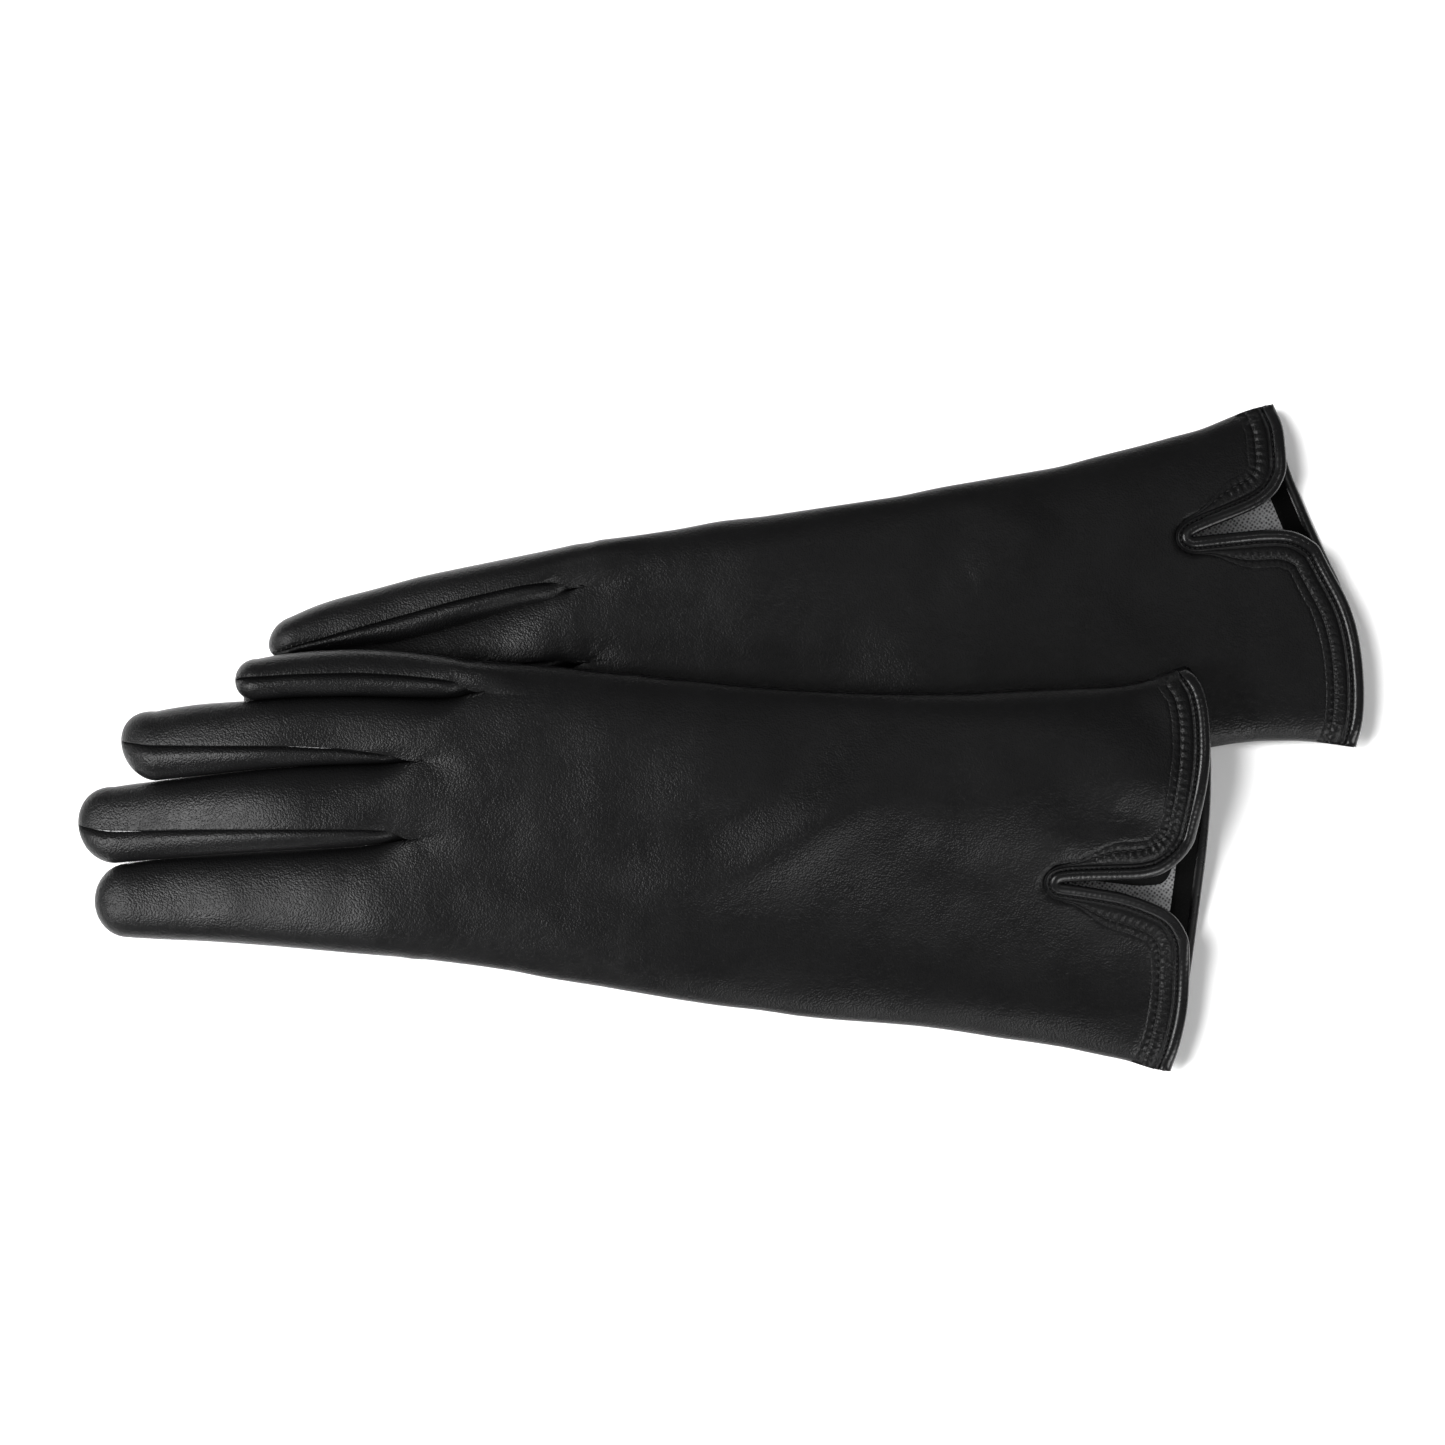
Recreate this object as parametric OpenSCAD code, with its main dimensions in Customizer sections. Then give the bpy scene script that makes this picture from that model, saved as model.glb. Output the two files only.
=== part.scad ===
// A pair of slim dress gloves in thin leather, knit lined, each with a bound and vented cuff.
// The right glove lies half over the left one, both palm down, with the thumbs folded under the palms.
// Millimetres. +Z is up, the fingers point to -X, and the origin is under the middle of the pair.

/* [Leather and lining] */
// Thickness of the leather
leather_t = 0.9; // [0.6:0.1:1.1]
// Thickness of the knitted lining
lining_t = 0.6; // [0.3:0.1:0.8]

/* [Fingers] */
// Height of an empty finger lying flat
finger_h = 10.6; // [10:0.1:10.8]
// Half of the angle that each fourchette covers round a finger
fourchette_a = 36; // [28:1:42]

/* [Hand] */
// Height of the hand lying flat
hand_h = 11.2; // [10.4:0.1:11.4]
// Height of the thumb folded under the palm
thumb_h = 8.2; // [7.6:0.1:8.4]
// Width of the thumb
thumb_w = 18; // [16:0.5:19]

/* [Cuff] */
// Width of the rolled binding along the cuff's edge
binding_w = 3; // [2.4:0.1:3.2]
// Thickness of the rolled binding
binding_t = 2.4; // [2:0.1:2.8]
// Bulge of the right cuff's edge between its corners
right_bulge = 6; // [4:0.5:7]
// Bulge of the left cuff's edge between its corners
left_bulge = 6; // [4:0.5:7]

/* [Hidden] */

LEATHER = "#1c1c1e";
LEATHER_IN = "#141416";
KNIT = "#8f9194";
THREAD = "#0c0c0d";

gap = 0.1;                                // between the leather and its lining
lin_a = leather_t + gap;                  // depth of the lining's outer face
lin_b = leather_t + gap + lining_t;       // depth of the lining's inner face
arch_p = 5;                               // flatness of the hand's section

// A hand is a row of stations from the knuckles to the cuff's edge:
// [little-side edge x, y, index-side edge x, y, underside height on the little side, on the index side, height,
//  shares of the width between which the underside climbs from one height to the other].
hh = hand_h;
th = thumb_h + 0.6;
right_hand = [
  [ -73.0,  20.5,  -75.0, -54.5, 12.0, th,     hh - 0.6, 0.34, 0.80],
  [ -58.0,  19.5,  -62.0, -56.0, 12.0, th,     hh - 0.4, 0.34, 0.78],
  [ -40.0,  18.0,  -43.0, -59.5, 12.0, th,     hh - 0.2, 0.36, 0.76],
  [ -17.0,  15.0,  -21.0, -63.5, 12.0, th,     hh,       0.36, 0.74],
  [   8.0,  13.0,    4.0, -67.0, 12.0, th - 1, hh,       0.36, 0.76],
  [  35.0,  11.5,   31.0, -70.0, 12.0, 4.5,    hh,       0.36, 0.80],
  [  63.0,  11.5,   58.0, -72.5, 12.0, 2.0,    hh,       0.30, 0.84],
  [  85.0,  12.5,   80.0, -76.0, 12.0, 0.8,    hh,       0.26, 0.84],
  [ 100.5,  13.5,   95.0, -79.0, 12.0, 0.2,    hh,       0.22, 0.84],
  [ 110.0,  15.5,  105.0, -81.5, 12.0, 0.0,    hh,       0.22, 0.84],
  [ 115.5,  17.5,  113.0, -83.5, 12.0, 0.0,    hh,       0.22, 0.84]];
left_hand = [
  [ -24.5, -15.0,  -38.5,  48.0, 0, th,     hh - 0.6, 0.56, 0.75],
  [ -16.0, -16.0,  -25.0,  50.5, 0, th,     hh - 0.4, 0.54, 0.72],
  [   2.0, -17.0,   -7.0,  53.0, 0, th,     hh - 0.2, 0.52, 0.68],
  [  24.0, -16.5,   15.0,  56.0, 0, th,     hh,       0.52, 0.68],
  [  46.5, -14.5,   38.0,  59.5, 0, th - 1, hh,       0.54, 0.74],
  [  70.0, -11.0,   60.0,  64.0, 0, 3.0,    hh,       0.54, 0.80],
  [  95.0,  -7.0,   83.0,  68.0, 0, 0.5,    hh,       0.54, 0.80],
  [ 114.0,  -3.5,  100.5,  72.0, 0, 0,      hh,       0.54, 0.80],
  [ 132.5,  -1.0,  115.5,  76.0, 0, 0,      hh,       0.54, 0.80],
  [ 149.0,  -1.0,  129.0,  81.0, 0, 0,      hh,       0.54, 0.80],
  [ 160.0,  -2.5,  138.0,  84.0, 0, 0,      hh,       0.54, 0.80]];
// The vent: its two sides as shares of the width at the closed end, that end's station, and the two sides at the mouth.
right_vent = [0.505, 0.585, 7.0, 0.45, 0.65];
left_vent = [0.643, 0.722, 7.6, 0.585, 0.80];
// The cuff: [bulge on the little side of the vent, on its index side, bulge of the palm's edge].
right_cuff = [right_bulge, right_bulge - 1.5, right_bulge + 1.5];
left_cuff = [left_bulge, 1, left_bulge];
// The shares of the width at which the hand's surface is drawn. The vent's two sides are among them.
right_v = [0, 0.015, 0.05, 0.14, 0.26, 0.38, 0.505, 0.585, 0.68, 0.79, 0.89, 0.955, 0.985, 1];
left_v = [0, 0.015, 0.05, 0.13, 0.28, 0.40, 0.52, 0.643, 0.722, 0.80, 0.89, 0.955, 0.985, 1];

// A finger: [root x, y, tip x, y, width at the root, width further on, underside at the root, at the tip, where it starts to drop, where it ends, height].
fh = finger_h;
right_index = [ -75.4, -40.0, -156.7, -41.2, 28.2, 20.8, th + 0.2, 0.0, 0.05, 1, fh];
right_middle = [ -74.9, -15.6, -161.0, -20.6, 18.8, 19.6, 11.2, 0.4, 0.32, 1, fh];
right_ring = [ -74.4,   2.1, -149.5,  -0.9, 14.8, 16.6, 11.8, 5.0, 0.55, 1, fh];
right_little = [ -59.6,  14.9, -120.0,  15.6,  8.6, 10.2, 12.0, 11.6, 0.60, 1, fh + 1];
left_index = [ -38.4,  43.2, -112.6,  25.2, 11.2, 11.6, th, 0.0, 0.05, 1, fh];
left_middle = [ -35.8,  27.4, -119.0,   6.4, 15.6, 15.0, 6.5, 0.0, 0.00, 0.35, fh - 0.4];
left_ring = [ -32.0,  10.2, -104.0,  -5.4, 16.0, 15.2, 0.0, 0.0, 0.30, 1, fh - 0.4];
left_little = [ -18.0,  -5.6, -75.0, -18.0, 14.6, 14.0, 0.0, 0.0, 0.30, 1, fh - 0.8];
// A thumb: as a finger, and it swings about the hole's centre near its root.
right_thumb_f = [ -14.0, -50.2, -71.0, -43.5, 18, 17, 0, 0, 0.5, 1, thumb_h];
left_thumb_f = [  24.0,  44.5,  -31.0,  38.8, 18, 17, 0, 0, 0.5, 1, thumb_h];

function lerp(a, b, t) = a + (b - a) * t;
function sstep(a, b, x) = let(t = min(max((x - a) / (b - a), 0), 1)) t * t * (3 - 2 * t);
function unit(v) = v / norm(v);
function arch(v) = sqrt(max(0, 1 - pow(abs(2 * v - 1), arch_p)));
function spow(x, p) = x < 0 ? -pow(-x, p) : pow(x, p);

// One closed solid between two grids of points. keep(i, j) says which cells are there.
module sheet(A, B, keep = function(i, j) true) {
  n = len(A); m = len(A[0]); off = n * m;
  function on(i, j) = i >= 0 && i < n - 1 && j >= 0 && j < m - 1 && keep(i, j);
  function quad(a, b, c, d) = [[a, b, c], [a, c, d]];
  used = [for (i = [0:n-1]) [for (j = [0:m-1]) on(i, j) || on(i-1, j) || on(i, j-1) || on(i-1, j-1)]];
  faces = [for (i = [0:n-2], j = [0:m-2]) if (on(i, j))
    let(a = i*m+j, b = (i+1)*m+j, c = (i+1)*m+j+1, d = i*m+j+1)
    each concat(
      quad(a, b, c, d), quad(off+a, off+d, off+c, off+b),
      on(i-1, j) ? [] : quad(a, d, off+d, off+a),
      on(i+1, j) ? [] : quad(c, b, off+b, off+c),
      on(i, j-1) ? [] : quad(b, a, off+a, off+b),
      on(i, j+1) ? [] : quad(d, c, off+c, off+d))];
  polyhedron(points = concat([for (r = A) each r], [for (r = B) each r]), faces = faces, convexity = 6);
}

// A point of the hand's surface: u is the station, v the share of the width from the little side,
// side is 1 for the back and -1 for the palm, and t is the depth under the leather's outer face.
function cuff_push(c, vent, v, side) = side < 0 ? c[2] * pow(max(0, sin(180 * v)), 0.6)
  : v < vent[0] ? c[0] * pow(max(0, sin(180 * v / vent[0])), 0.6)
  : v > vent[1] ? c[1] * pow(max(0, sin(180 * (v - vent[1]) / (1 - vent[1]))), 0.6) : 0;
function flare(vent, u, v) = let(k = u <= vent[2] ? 0 : pow((u - vent[2]) / (10 - vent[2]), 3))
  v <= vent[0] ? v * lerp(vent[0], vent[3], k) / vent[0]
  : v >= vent[1] ? 1 - (1 - v) * (1 - lerp(vent[1], vent[4], k)) / (1 - vent[1])
  : lerp(lerp(vent[0], vent[3], k), lerp(vent[1], vent[4], k), (v - vent[0]) / (vent[1] - vent[0]));
function hand_pt(S, c, vent, u, v0, side, t) =
  let(i = min(floor(u), len(S) - 2), f = u - i, s = lerp(S[i], S[i+1], f),
      v = side > 0 ? flare(vent, u, v0) : v0,
      L = [s[0], s[1]], I = [s[2], s[3]], d = unit(I - L),
      p = lerp(L + d * t, I - d * t, v),
      push = sstep(8.2, 10, u) * cuff_push(c, vent, v0, side),
      zu = s[4] + (s[5] - s[4]) * sstep(s[7], s[8], v),
      seam = (v <= 0 || v >= 1) ? side * 0.05 : 0)
  [p[0] + push, p[1], zu + s[6] / 2 + side * (s[6] / 2 - t) * arch(v) + seam];
function hand_grid(S, c, vent, U, V, side, t) = [for (u = U) [for (v = V) hand_pt(S, c, vent, u, v, side, t)]];

// Stations of a panel, of the lining, of the facing and of the topstitching. Row 7 is the vent's closed end.
function panel_u(vent) = [0, 1, 2, 3, 4, 5, 6, vent[2], (vent[2] + 9) / 2, 9, 9.7];
function lining_u(vent) = [0.05, 1, 2, 3, 4, 5, 6, vent[2], (vent[2] + 9) / 2, 9, 9.26];
facing_u = [9.3, 9.7];
stitch_u = [9.34, 9.42];

module back_panel(S, c, vent, V, jv, jc) color(LEATHER)
  sheet(hand_grid(S, c, vent, panel_u(vent), V, 1, leather_t), hand_grid(S, c, vent, panel_u(vent), V, 1, 0),
    function(i, j) !(i >= 7 && j == jv) && !(i == 0 && j < jc));

module palm_panel(S, c, vent, V, jc, hole) color(LEATHER)
  sheet(hand_grid(S, c, vent, panel_u(vent), V, -1, 0), hand_grid(S, c, vent, panel_u(vent), V, -1, leather_t),
    function(i, j) !(i == 0 && j < jc) && !(i == hole[0] && j == hole[1]));

module facing(S, c, vent, V, jv) color(LEATHER_IN) {
  sheet(hand_grid(S, c, vent, facing_u, V, 1, lin_b), hand_grid(S, c, vent, facing_u, V, 1, lin_a), function(i, j) j != jv);
  sheet(hand_grid(S, c, vent, facing_u, V, -1, lin_a), hand_grid(S, c, vent, facing_u, V, -1, lin_b));
}

module topstitch(S, c, vent, V, jv) color(THREAD)
  sheet(hand_grid(S, c, vent, stitch_u, V, 1, -0.05), hand_grid(S, c, vent, stitch_u, V, 1, -0.5),
    function(i, j) j != jv && j > 1 && j < len(V) - 3);

module hand_lining(S, c, vent, V, jv, jc, hole) color(KNIT) {
  sheet(hand_grid(S, c, vent, lining_u(vent), V, 1, lin_b), hand_grid(S, c, vent, lining_u(vent), V, 1, lin_a),
    function(i, j) !(i >= 7 && j == jv) && !(i == 0 && j < jc));
  sheet(hand_grid(S, c, vent, lining_u(vent), V, -1, lin_a), hand_grid(S, c, vent, lining_u(vent), V, -1, lin_b),
    function(i, j) !(i == 0 && j < jc) && !(i == hole[0] && j == hole[1]));
}

// A flat-sided roll along a line of points that lies near the XY plane.
module roll(P) {
  n = len(P);
  function side_of(k) = let(a = P[max(k-1, 0)], b = P[min(k+1, n-1)], t = unit([b[0]-a[0], b[1]-a[1]])) [-t[1], t[0], 0];
  w = binding_w / 2; h = binding_t / 2;
  function ring(k, s) = [for (q = [[-1, 0.45], [-0.6, 1], [0.6, 1], [1, 0.45]]) P[k] + side_of(k) * q[0] * w + [0, 0, s * q[1] * h]];
  sheet([for (k = [0:n-1]) ring(k, -1)], [for (k = [0:n-1]) ring(k, 1)]);
}

function edge_pt(S, c, vent, u, v, side) = hand_pt(S, c, vent, u, v, side, leather_t * 0.5);
// The binding runs beside the panels' edges. W is the hand's width there.
function back_edge(S, c, vent, W) = let(n1 = vent[0], n2 = vent[1], k = (binding_w / 2 + 0.3) / W, e = 9.86, a = vent[2] + 0.22, m = (n1 + n2) / 2)
  [for (q = concat(
    [for (v = [0.02, 0.06, 0.12, 0.22, 0.34, 0.6, 0.78, 0.9, 0.96]) [e, n1 * v]],
    [[9.78, n1 + k * 0.4], [9.55, n1 + k], [9.1, n1 + k], [(9.1 + a) / 2, n1 + k], [a + 0.1, n1 + k], [a - 0.03, m - k * 0.45], [a - 0.03, m + k * 0.45],
     [a + 0.1, n2 - k], [(9.1 + a) / 2, n2 - k], [9.1, n2 - k], [9.55, n2 - k], [9.78, n2 - k * 0.4]],
    [for (v = [0.96, 0.9, 0.78, 0.6, 0.34, 0.22, 0.12, 0.06, 0.02]) [e, 1 - (1 - n2) * v]])) edge_pt(S, c, vent, q[0], q[1], 1)];
function palm_edge(S, c, vent) = [for (v = [0.01, 0.03, 0.07, 0.14, 0.24, 0.36, 0.5, 0.64, 0.76, 0.86, 0.93, 0.97, 0.99]) edge_pt(S, c, vent, 9.86, v, -1) + [0, 0, binding_t / 2 - 0.4]];

module binding(S, c, vent, W) color(LEATHER) {
  roll(back_edge(S, c, vent, W));
  roll(palm_edge(S, c, vent));
}

// A finger's point: s runs from root to tip, a is the angle round it, 90 on the back, and t the depth.
finger_s = [0, 0.2, 0.4, 0.6, 0.76, 0.88, 0.95, 0.985];
function tip_round(F, s) = let(len_f = norm([F[2]-F[0], F[3]-F[1]]), s1 = 1 - 0.5 * F[5] / len_f)
  s <= s1 ? 1 : sqrt(max(0.02, 1 - pow((s - s1) / (1 - s1), 2)));
function finger_pt(F, s, a, t) =
  let(R = [F[0], F[1]], T = [F[2], F[3]], d = unit(T - R), n = [-d[1], d[0]], tr = tip_round(F, s),
      w = max(lerp(F[4], F[5], min(s / 0.5, 1)) / 2 * tr - t, 0.15),
      h = F[10] * pow(tr, 0.75), hz = max(h / 2 - t, 0.15),
      zu = lerp(F[6], F[7], sstep(F[8], F[9], s)) + 0.35 * (F[10] - h),
      back_off = s > 0.98 ? t : 0,
      c = lerp(R, T, s) - d * back_off)
  [c[0] + n[0] * w * spow(cos(a), 0.8), c[1] + n[1] * w * spow(cos(a), 0.8), zu + h / 2 + hz * spow(sin(a), 0.8)];
function arc(F, a0, a1, m, t) = [for (s = finger_s) [for (k = [0:m]) finger_pt(F, s, lerp(a0, a1, k / m), t)]];

module strip(F, a0, a1, m, ta = 0, tb = leather_t) sheet(arc(F, a0 + 0.6, a1 - 0.6, m, ta), arc(F, a0 + 0.6, a1 - 0.6, m, tb));
fa = fourchette_a;
// f0 and f180 say on which sides of the finger a fourchette stands. Where there is none, the back meets the palm.
module finger_back(F, f0, f180) color(LEATHER) strip(F, f0 ? fa : 0, f180 ? 180 - fa : 180, 6);
module finger_palm(F, f0, f180) color(LEATHER) strip(F, f180 ? 180 + fa : 180, f0 ? 360 - fa : 360, 6);
module fourchettes(F, f0, f180) color(LEATHER) {
  if (f0) strip(F, -fa, fa, 2);
  if (f180) strip(F, 180 - fa, 180 + fa, 2);
}
module finger_lining(F) color(KNIT) strip(F, 0, 360, 10, lin_a, lin_b);

// A thumb is one folded piece: an envelope closed at both ends, with an opening up into the hand.
thumb_s = [0.02, 0.07, 0.135, 0.335, 0.5, 0.66, 0.8, 0.9, 0.96, 0.985];
function thumb_pt(F, s, a, t) =
  let(R = [F[0], F[1]], T = [F[2], F[3]], d = unit(T - R), n = [-d[1], d[0]],
      tr = s < 0.16 ? sqrt(max(0.02, 1 - pow((0.16 - s) / 0.16, 2))) : tip_round(F, s),
      w = max(lerp(F[4], F[5], s) / 2 * tr - t, 0.15), h = F[10] * pow(tr, 0.6), hz = max(h / 2 - t, 0.15),
      c = lerp(R, T, s) + d * (s < 0.03 ? t : s > 0.98 ? -t : 0))
  [c[0] + n[0] * w * spow(cos(a), 0.7), c[1] + n[1] * w * spow(cos(a), 0.7), F[6] + 0.5 * (F[10] - h) + h / 2 + hz * spow(sin(a), 0.7)];
thumb_a = [0.5, 22, 45, 68, 112, 135, 158, 180, 202, 225, 270, 315, 338, 359.5];
module envelope(F, ta, tb) sheet([for (s = thumb_s) [for (a = thumb_a) thumb_pt(F, s, a, ta)]], [for (s = thumb_s) [for (a = thumb_a) thumb_pt(F, s, a, tb)]],
    function(i, j) !(i == 2 && (j >= 2 && j <= 4)));

// Quirks are small gussets that close the forks between the fingers. Each stands upright just inside the hand's front edge.
module gusset(p, q, w, z0, z1) translate([0, 0, z0]) linear_extrude(z1 - z0)
  let(d = unit(q - p), n = [-d[1], d[0]] * w / 2) polygon([p + n, q + n, q - n, p - n]);

module right_back_panel() back_panel(right_hand, right_cuff, right_vent, right_v, 6, 3);
module right_palm_panel() palm_panel(right_hand, right_cuff, right_vent, right_v, 3, [2, 9]);
module right_quirks() color(LEATHER) {
  gusset([-73.2, -24.6], [-73.2, -27.2], 0.8, 12.6, 18.4);
  gusset([-72.6, -5.0], [-72.6, -7.6], 0.8, 14.2, 20.6);
  gusset([-71.8, 7.4], [-71.8, 5.0], 0.8, 14.2, 20.6);
}
module right_cuff_binding() binding(right_hand, right_cuff, right_vent, 95);
module right_cuff_facing() facing(right_hand, right_cuff, right_vent, right_v, 6);
module right_cuff_topstitch() topstitch(right_hand, right_cuff, right_vent, right_v, 6);
module right_hand_lining() hand_lining(right_hand, right_cuff, right_vent, right_v, 6, 3, [2, 9]);
// Finger nodes: on the right glove +90 degrees of a finger's own axis points to the index side.
module right_index_back() finger_back(right_index, false, true);
module right_index_palm() finger_palm(right_index, false, true);
module right_index_fourchette() fourchettes(right_index, false, true);
module right_index_lining() finger_lining(right_index);
module right_middle_back() finger_back(right_middle, true, true);
module right_middle_palm() finger_palm(right_middle, true, true);
module right_middle_fourchettes() fourchettes(right_middle, true, true);
module right_middle_lining() finger_lining(right_middle);
module right_ring_back() finger_back(right_ring, true, true);
module right_ring_palm() finger_palm(right_ring, true, true);
module right_ring_fourchettes() fourchettes(right_ring, true, true);
module right_ring_lining() finger_lining(right_ring);
module right_little_back() finger_back(right_little, true, false);
module right_little_palm() finger_palm(right_little, true, false);
module right_little_fourchette() fourchettes(right_little, true, false);
module right_little_lining() finger_lining(right_little);
module right_thumb() color(LEATHER) envelope(right_thumb_f, 0, leather_t);
module right_thumb_lining() color(KNIT) envelope(right_thumb_f, lin_a, lin_b);

module left_back_panel() back_panel(left_hand, left_cuff, left_vent, left_v, 7, 4);
module left_palm_panel() palm_panel(left_hand, left_cuff, left_vent, left_v, 4, [2, 9]);
module left_quirks() color(LEATHER) {
  gusset([-34.6, 34.2], [-34.9, 36.8], 0.8, 12.4, 17.6);
  gusset([-31.0, 18.0], [-31.4, 20.6], 0.8, 2.6, 8.0);
  gusset([-27.4, 1.6], [-27.9, 4.0], 0.8, 2.6, 8.0);
}
module left_cuff_binding() binding(left_hand, left_cuff, left_vent, 80);
module left_cuff_facing() facing(left_hand, left_cuff, left_vent, left_v, 7);
module left_cuff_topstitch() topstitch(left_hand, left_cuff, left_vent, left_v, 7);
module left_hand_lining() hand_lining(left_hand, left_cuff, left_vent, left_v, 7, 4, [2, 9]);
module left_index_back() finger_back(left_index, true, false);
module left_index_palm() finger_palm(left_index, true, false);
module left_index_fourchette() fourchettes(left_index, true, false);
module left_index_lining() finger_lining(left_index);
module left_middle_back() finger_back(left_middle, true, true);
module left_middle_palm() finger_palm(left_middle, true, true);
module left_middle_fourchettes() fourchettes(left_middle, true, true);
module left_middle_lining() finger_lining(left_middle);
module left_ring_back() finger_back(left_ring, true, true);
module left_ring_palm() finger_palm(left_ring, true, true);
module left_ring_fourchettes() fourchettes(left_ring, true, true);
module left_ring_lining() finger_lining(left_ring);
module left_little_back() finger_back(left_little, false, true);
module left_little_palm() finger_palm(left_little, false, true);
module left_little_fourchette() fourchettes(left_little, false, true);
module left_little_lining() finger_lining(left_little);
module left_thumb() color(LEATHER) envelope(left_thumb_f, 0, leather_t);
module left_thumb_lining() color(KNIT) envelope(left_thumb_f, lin_a, lin_b);

right_back_panel();
right_palm_panel();
right_quirks();
right_cuff_binding();
right_cuff_facing();
right_cuff_topstitch();
right_hand_lining();
right_index_back();
right_index_palm();
right_index_fourchette();
right_index_lining();
right_middle_back();
right_middle_palm();
right_middle_fourchettes();
right_middle_lining();
right_ring_back();
right_ring_palm();
right_ring_fourchettes();
right_ring_lining();
right_little_back();
right_little_palm();
right_little_fourchette();
right_little_lining();
right_thumb();
right_thumb_lining();
left_back_panel();
left_palm_panel();
left_quirks();
left_cuff_binding();
left_cuff_facing();
left_cuff_topstitch();
left_hand_lining();
left_index_back();
left_index_palm();
left_index_fourchette();
left_index_lining();
left_middle_back();
left_middle_palm();
left_middle_fourchettes();
left_middle_lining();
left_ring_back();
left_ring_palm();
left_ring_fourchettes();
left_ring_lining();
left_little_back();
left_little_palm();
left_little_fourchette();
left_little_lining();
left_thumb();
left_thumb_lining();
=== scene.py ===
"""Looks of the pair of leather gloves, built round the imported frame."""
import math

import bpy
import numpy as np
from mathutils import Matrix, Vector
from mathutils.bvhtree import BVHTree


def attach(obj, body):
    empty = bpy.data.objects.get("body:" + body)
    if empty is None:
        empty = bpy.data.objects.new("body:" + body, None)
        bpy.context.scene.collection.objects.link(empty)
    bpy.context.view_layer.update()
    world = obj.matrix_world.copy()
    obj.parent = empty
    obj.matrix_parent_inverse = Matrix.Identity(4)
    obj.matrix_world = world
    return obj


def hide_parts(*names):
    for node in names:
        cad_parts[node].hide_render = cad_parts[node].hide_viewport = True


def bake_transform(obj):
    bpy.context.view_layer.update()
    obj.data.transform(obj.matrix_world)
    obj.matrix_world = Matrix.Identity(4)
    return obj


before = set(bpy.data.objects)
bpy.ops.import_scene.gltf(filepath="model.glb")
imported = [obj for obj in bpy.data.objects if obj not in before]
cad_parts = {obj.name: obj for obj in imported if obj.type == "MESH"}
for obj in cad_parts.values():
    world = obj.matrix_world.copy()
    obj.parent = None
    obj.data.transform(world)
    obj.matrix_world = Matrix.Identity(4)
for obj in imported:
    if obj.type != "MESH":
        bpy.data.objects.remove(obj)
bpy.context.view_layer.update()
RNG = np.random.default_rng(7)

# ---------------------------------------------------------------- outlines, in millimetres
# R is the right glove, which lies on top, and L the left one. _0 is a finger's edge on the little side,
# _S its visible seam, _1 its edge on the index side. KNOTS are the ends of the knuckle row.
R_HAND_L = [(-59.25, 19.5), (-49.75, 18.75), (-39.75, 18), (-29.75, 16.75), (-19.75, 16), (-14.25, 15.12), (-4.75, 14.5), (3.5, 13.5), (10.25, 12.88), (17.5, 12.25), (25, 11.88), (32.5, 11.5), (47.5, 11.25), (62.25, 11.38), (69.75, 11.88), (78.25, 12.25), (85.75, 12.62), (97, 13), (101.5, 13.5), (105.25, 14.25), (110, 15.62), (113.75, 17.12), (116, 17.62)]
R_HAND_I = [(-73, -54.88), (-69.75, -55.25), (-59.75, -56.5), (-49.75, -58), (-44.75, -59.15), (-39.75, -60), (-30, -61.5), (-20, -63.25), (-9.75, -65), (0.25, -66.5), (10.25, -67.62), (20.25, -69.25), (30, -70.25), (40, -71), (51, -72), (59.75, -73.25), (70.25, -75), (79.5, -76.25), (87.25, -77.5), (95, -79.25), (102.75, -80.75), (106, -82), (109.25, -83), (113, -83.5)]
R_CUFF = [(116, 17.62), (118, 16.75), (119.75, 13.75), (121.25, 5.5), (121.62, -6), (121.12, -15.25), (120.25, -25.25), (119.5, -35.5), (119, -45.25), (118.5, -52.75), (118, -59), (117.5, -65.75), (116, -73.5), (114.5, -79.75), (113, -83.5)]
R_VENT_A = [(84.25, -35.75), (87.25, -35.38), (90.5, -35.25), (98.25, -35), (104.5, -34.88), (109.75, -33.75), (113.5, -31.25), (116.25, -28.5), (118, -25.5)]
R_VENT_B = [(84.25, -35.75), (87.25, -36), (90.5, -36.5), (95.25, -37.25), (100.25, -38.12), (105.25, -39.75), (110.25, -41.75), (113, -43.5), (115, -46), (116.75, -49.75)]
R_PALM_CUFF = [(116, 17.62), (118.75, 14.75), (121, 8.25), (122.25, 2.25), (122.75, -4), (122.75, -16.75), (122, -29), (120.5, -44.25), (119.25, -55.75), (117.5, -69), (115.5, -77.75), (113, -83.5)]
R_KNOTS = [(-59.25, 19.5), (-58.25, 11.5), (-73.75, -5.5), (-75, -25), (-73, -54.88)]
R_LITTLE_0 = [(-59.25, 19.5), (-69.75, 21), (-79.75, 22), (-89.75, 22.38), (-99.75, 22), (-109.75, 21), (-117.25, 19.5)]
R_LITTLE_S = [(-58.25, 11.5), (-60.25, 12.75), (-64.75, 14.5), (-69.75, 15.25), (-79.75, 16.25), (-89.75, 16.75), (-104.75, 16.38), (-114.75, 15.75)]
R_LITTLE_1 = [(-58.25, 11.5), (-60.25, 10.5), (-69.75, 10.12), (-89.75, 10.62), (-104.75, 10.38), (-115.75, 9.5)]
R_RING_0 = [(-58.25, 11.5), (-60.25, 10.5), (-69.75, 10.12), (-89.75, 10.62), (-104.75, 10.38), (-115.75, 9.5), (-119.75, 9.38), (-129.75, 8.75), (-139.75, 7.25), (-144.75, 6)]
R_RING_S = [(-73.75, -5.5), (-77.25, -4.75), (-84.75, -3.25), (-94.75, -2), (-104.75, -1.5), (-129.75, -1.38), (-144.75, -1.25)]
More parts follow.
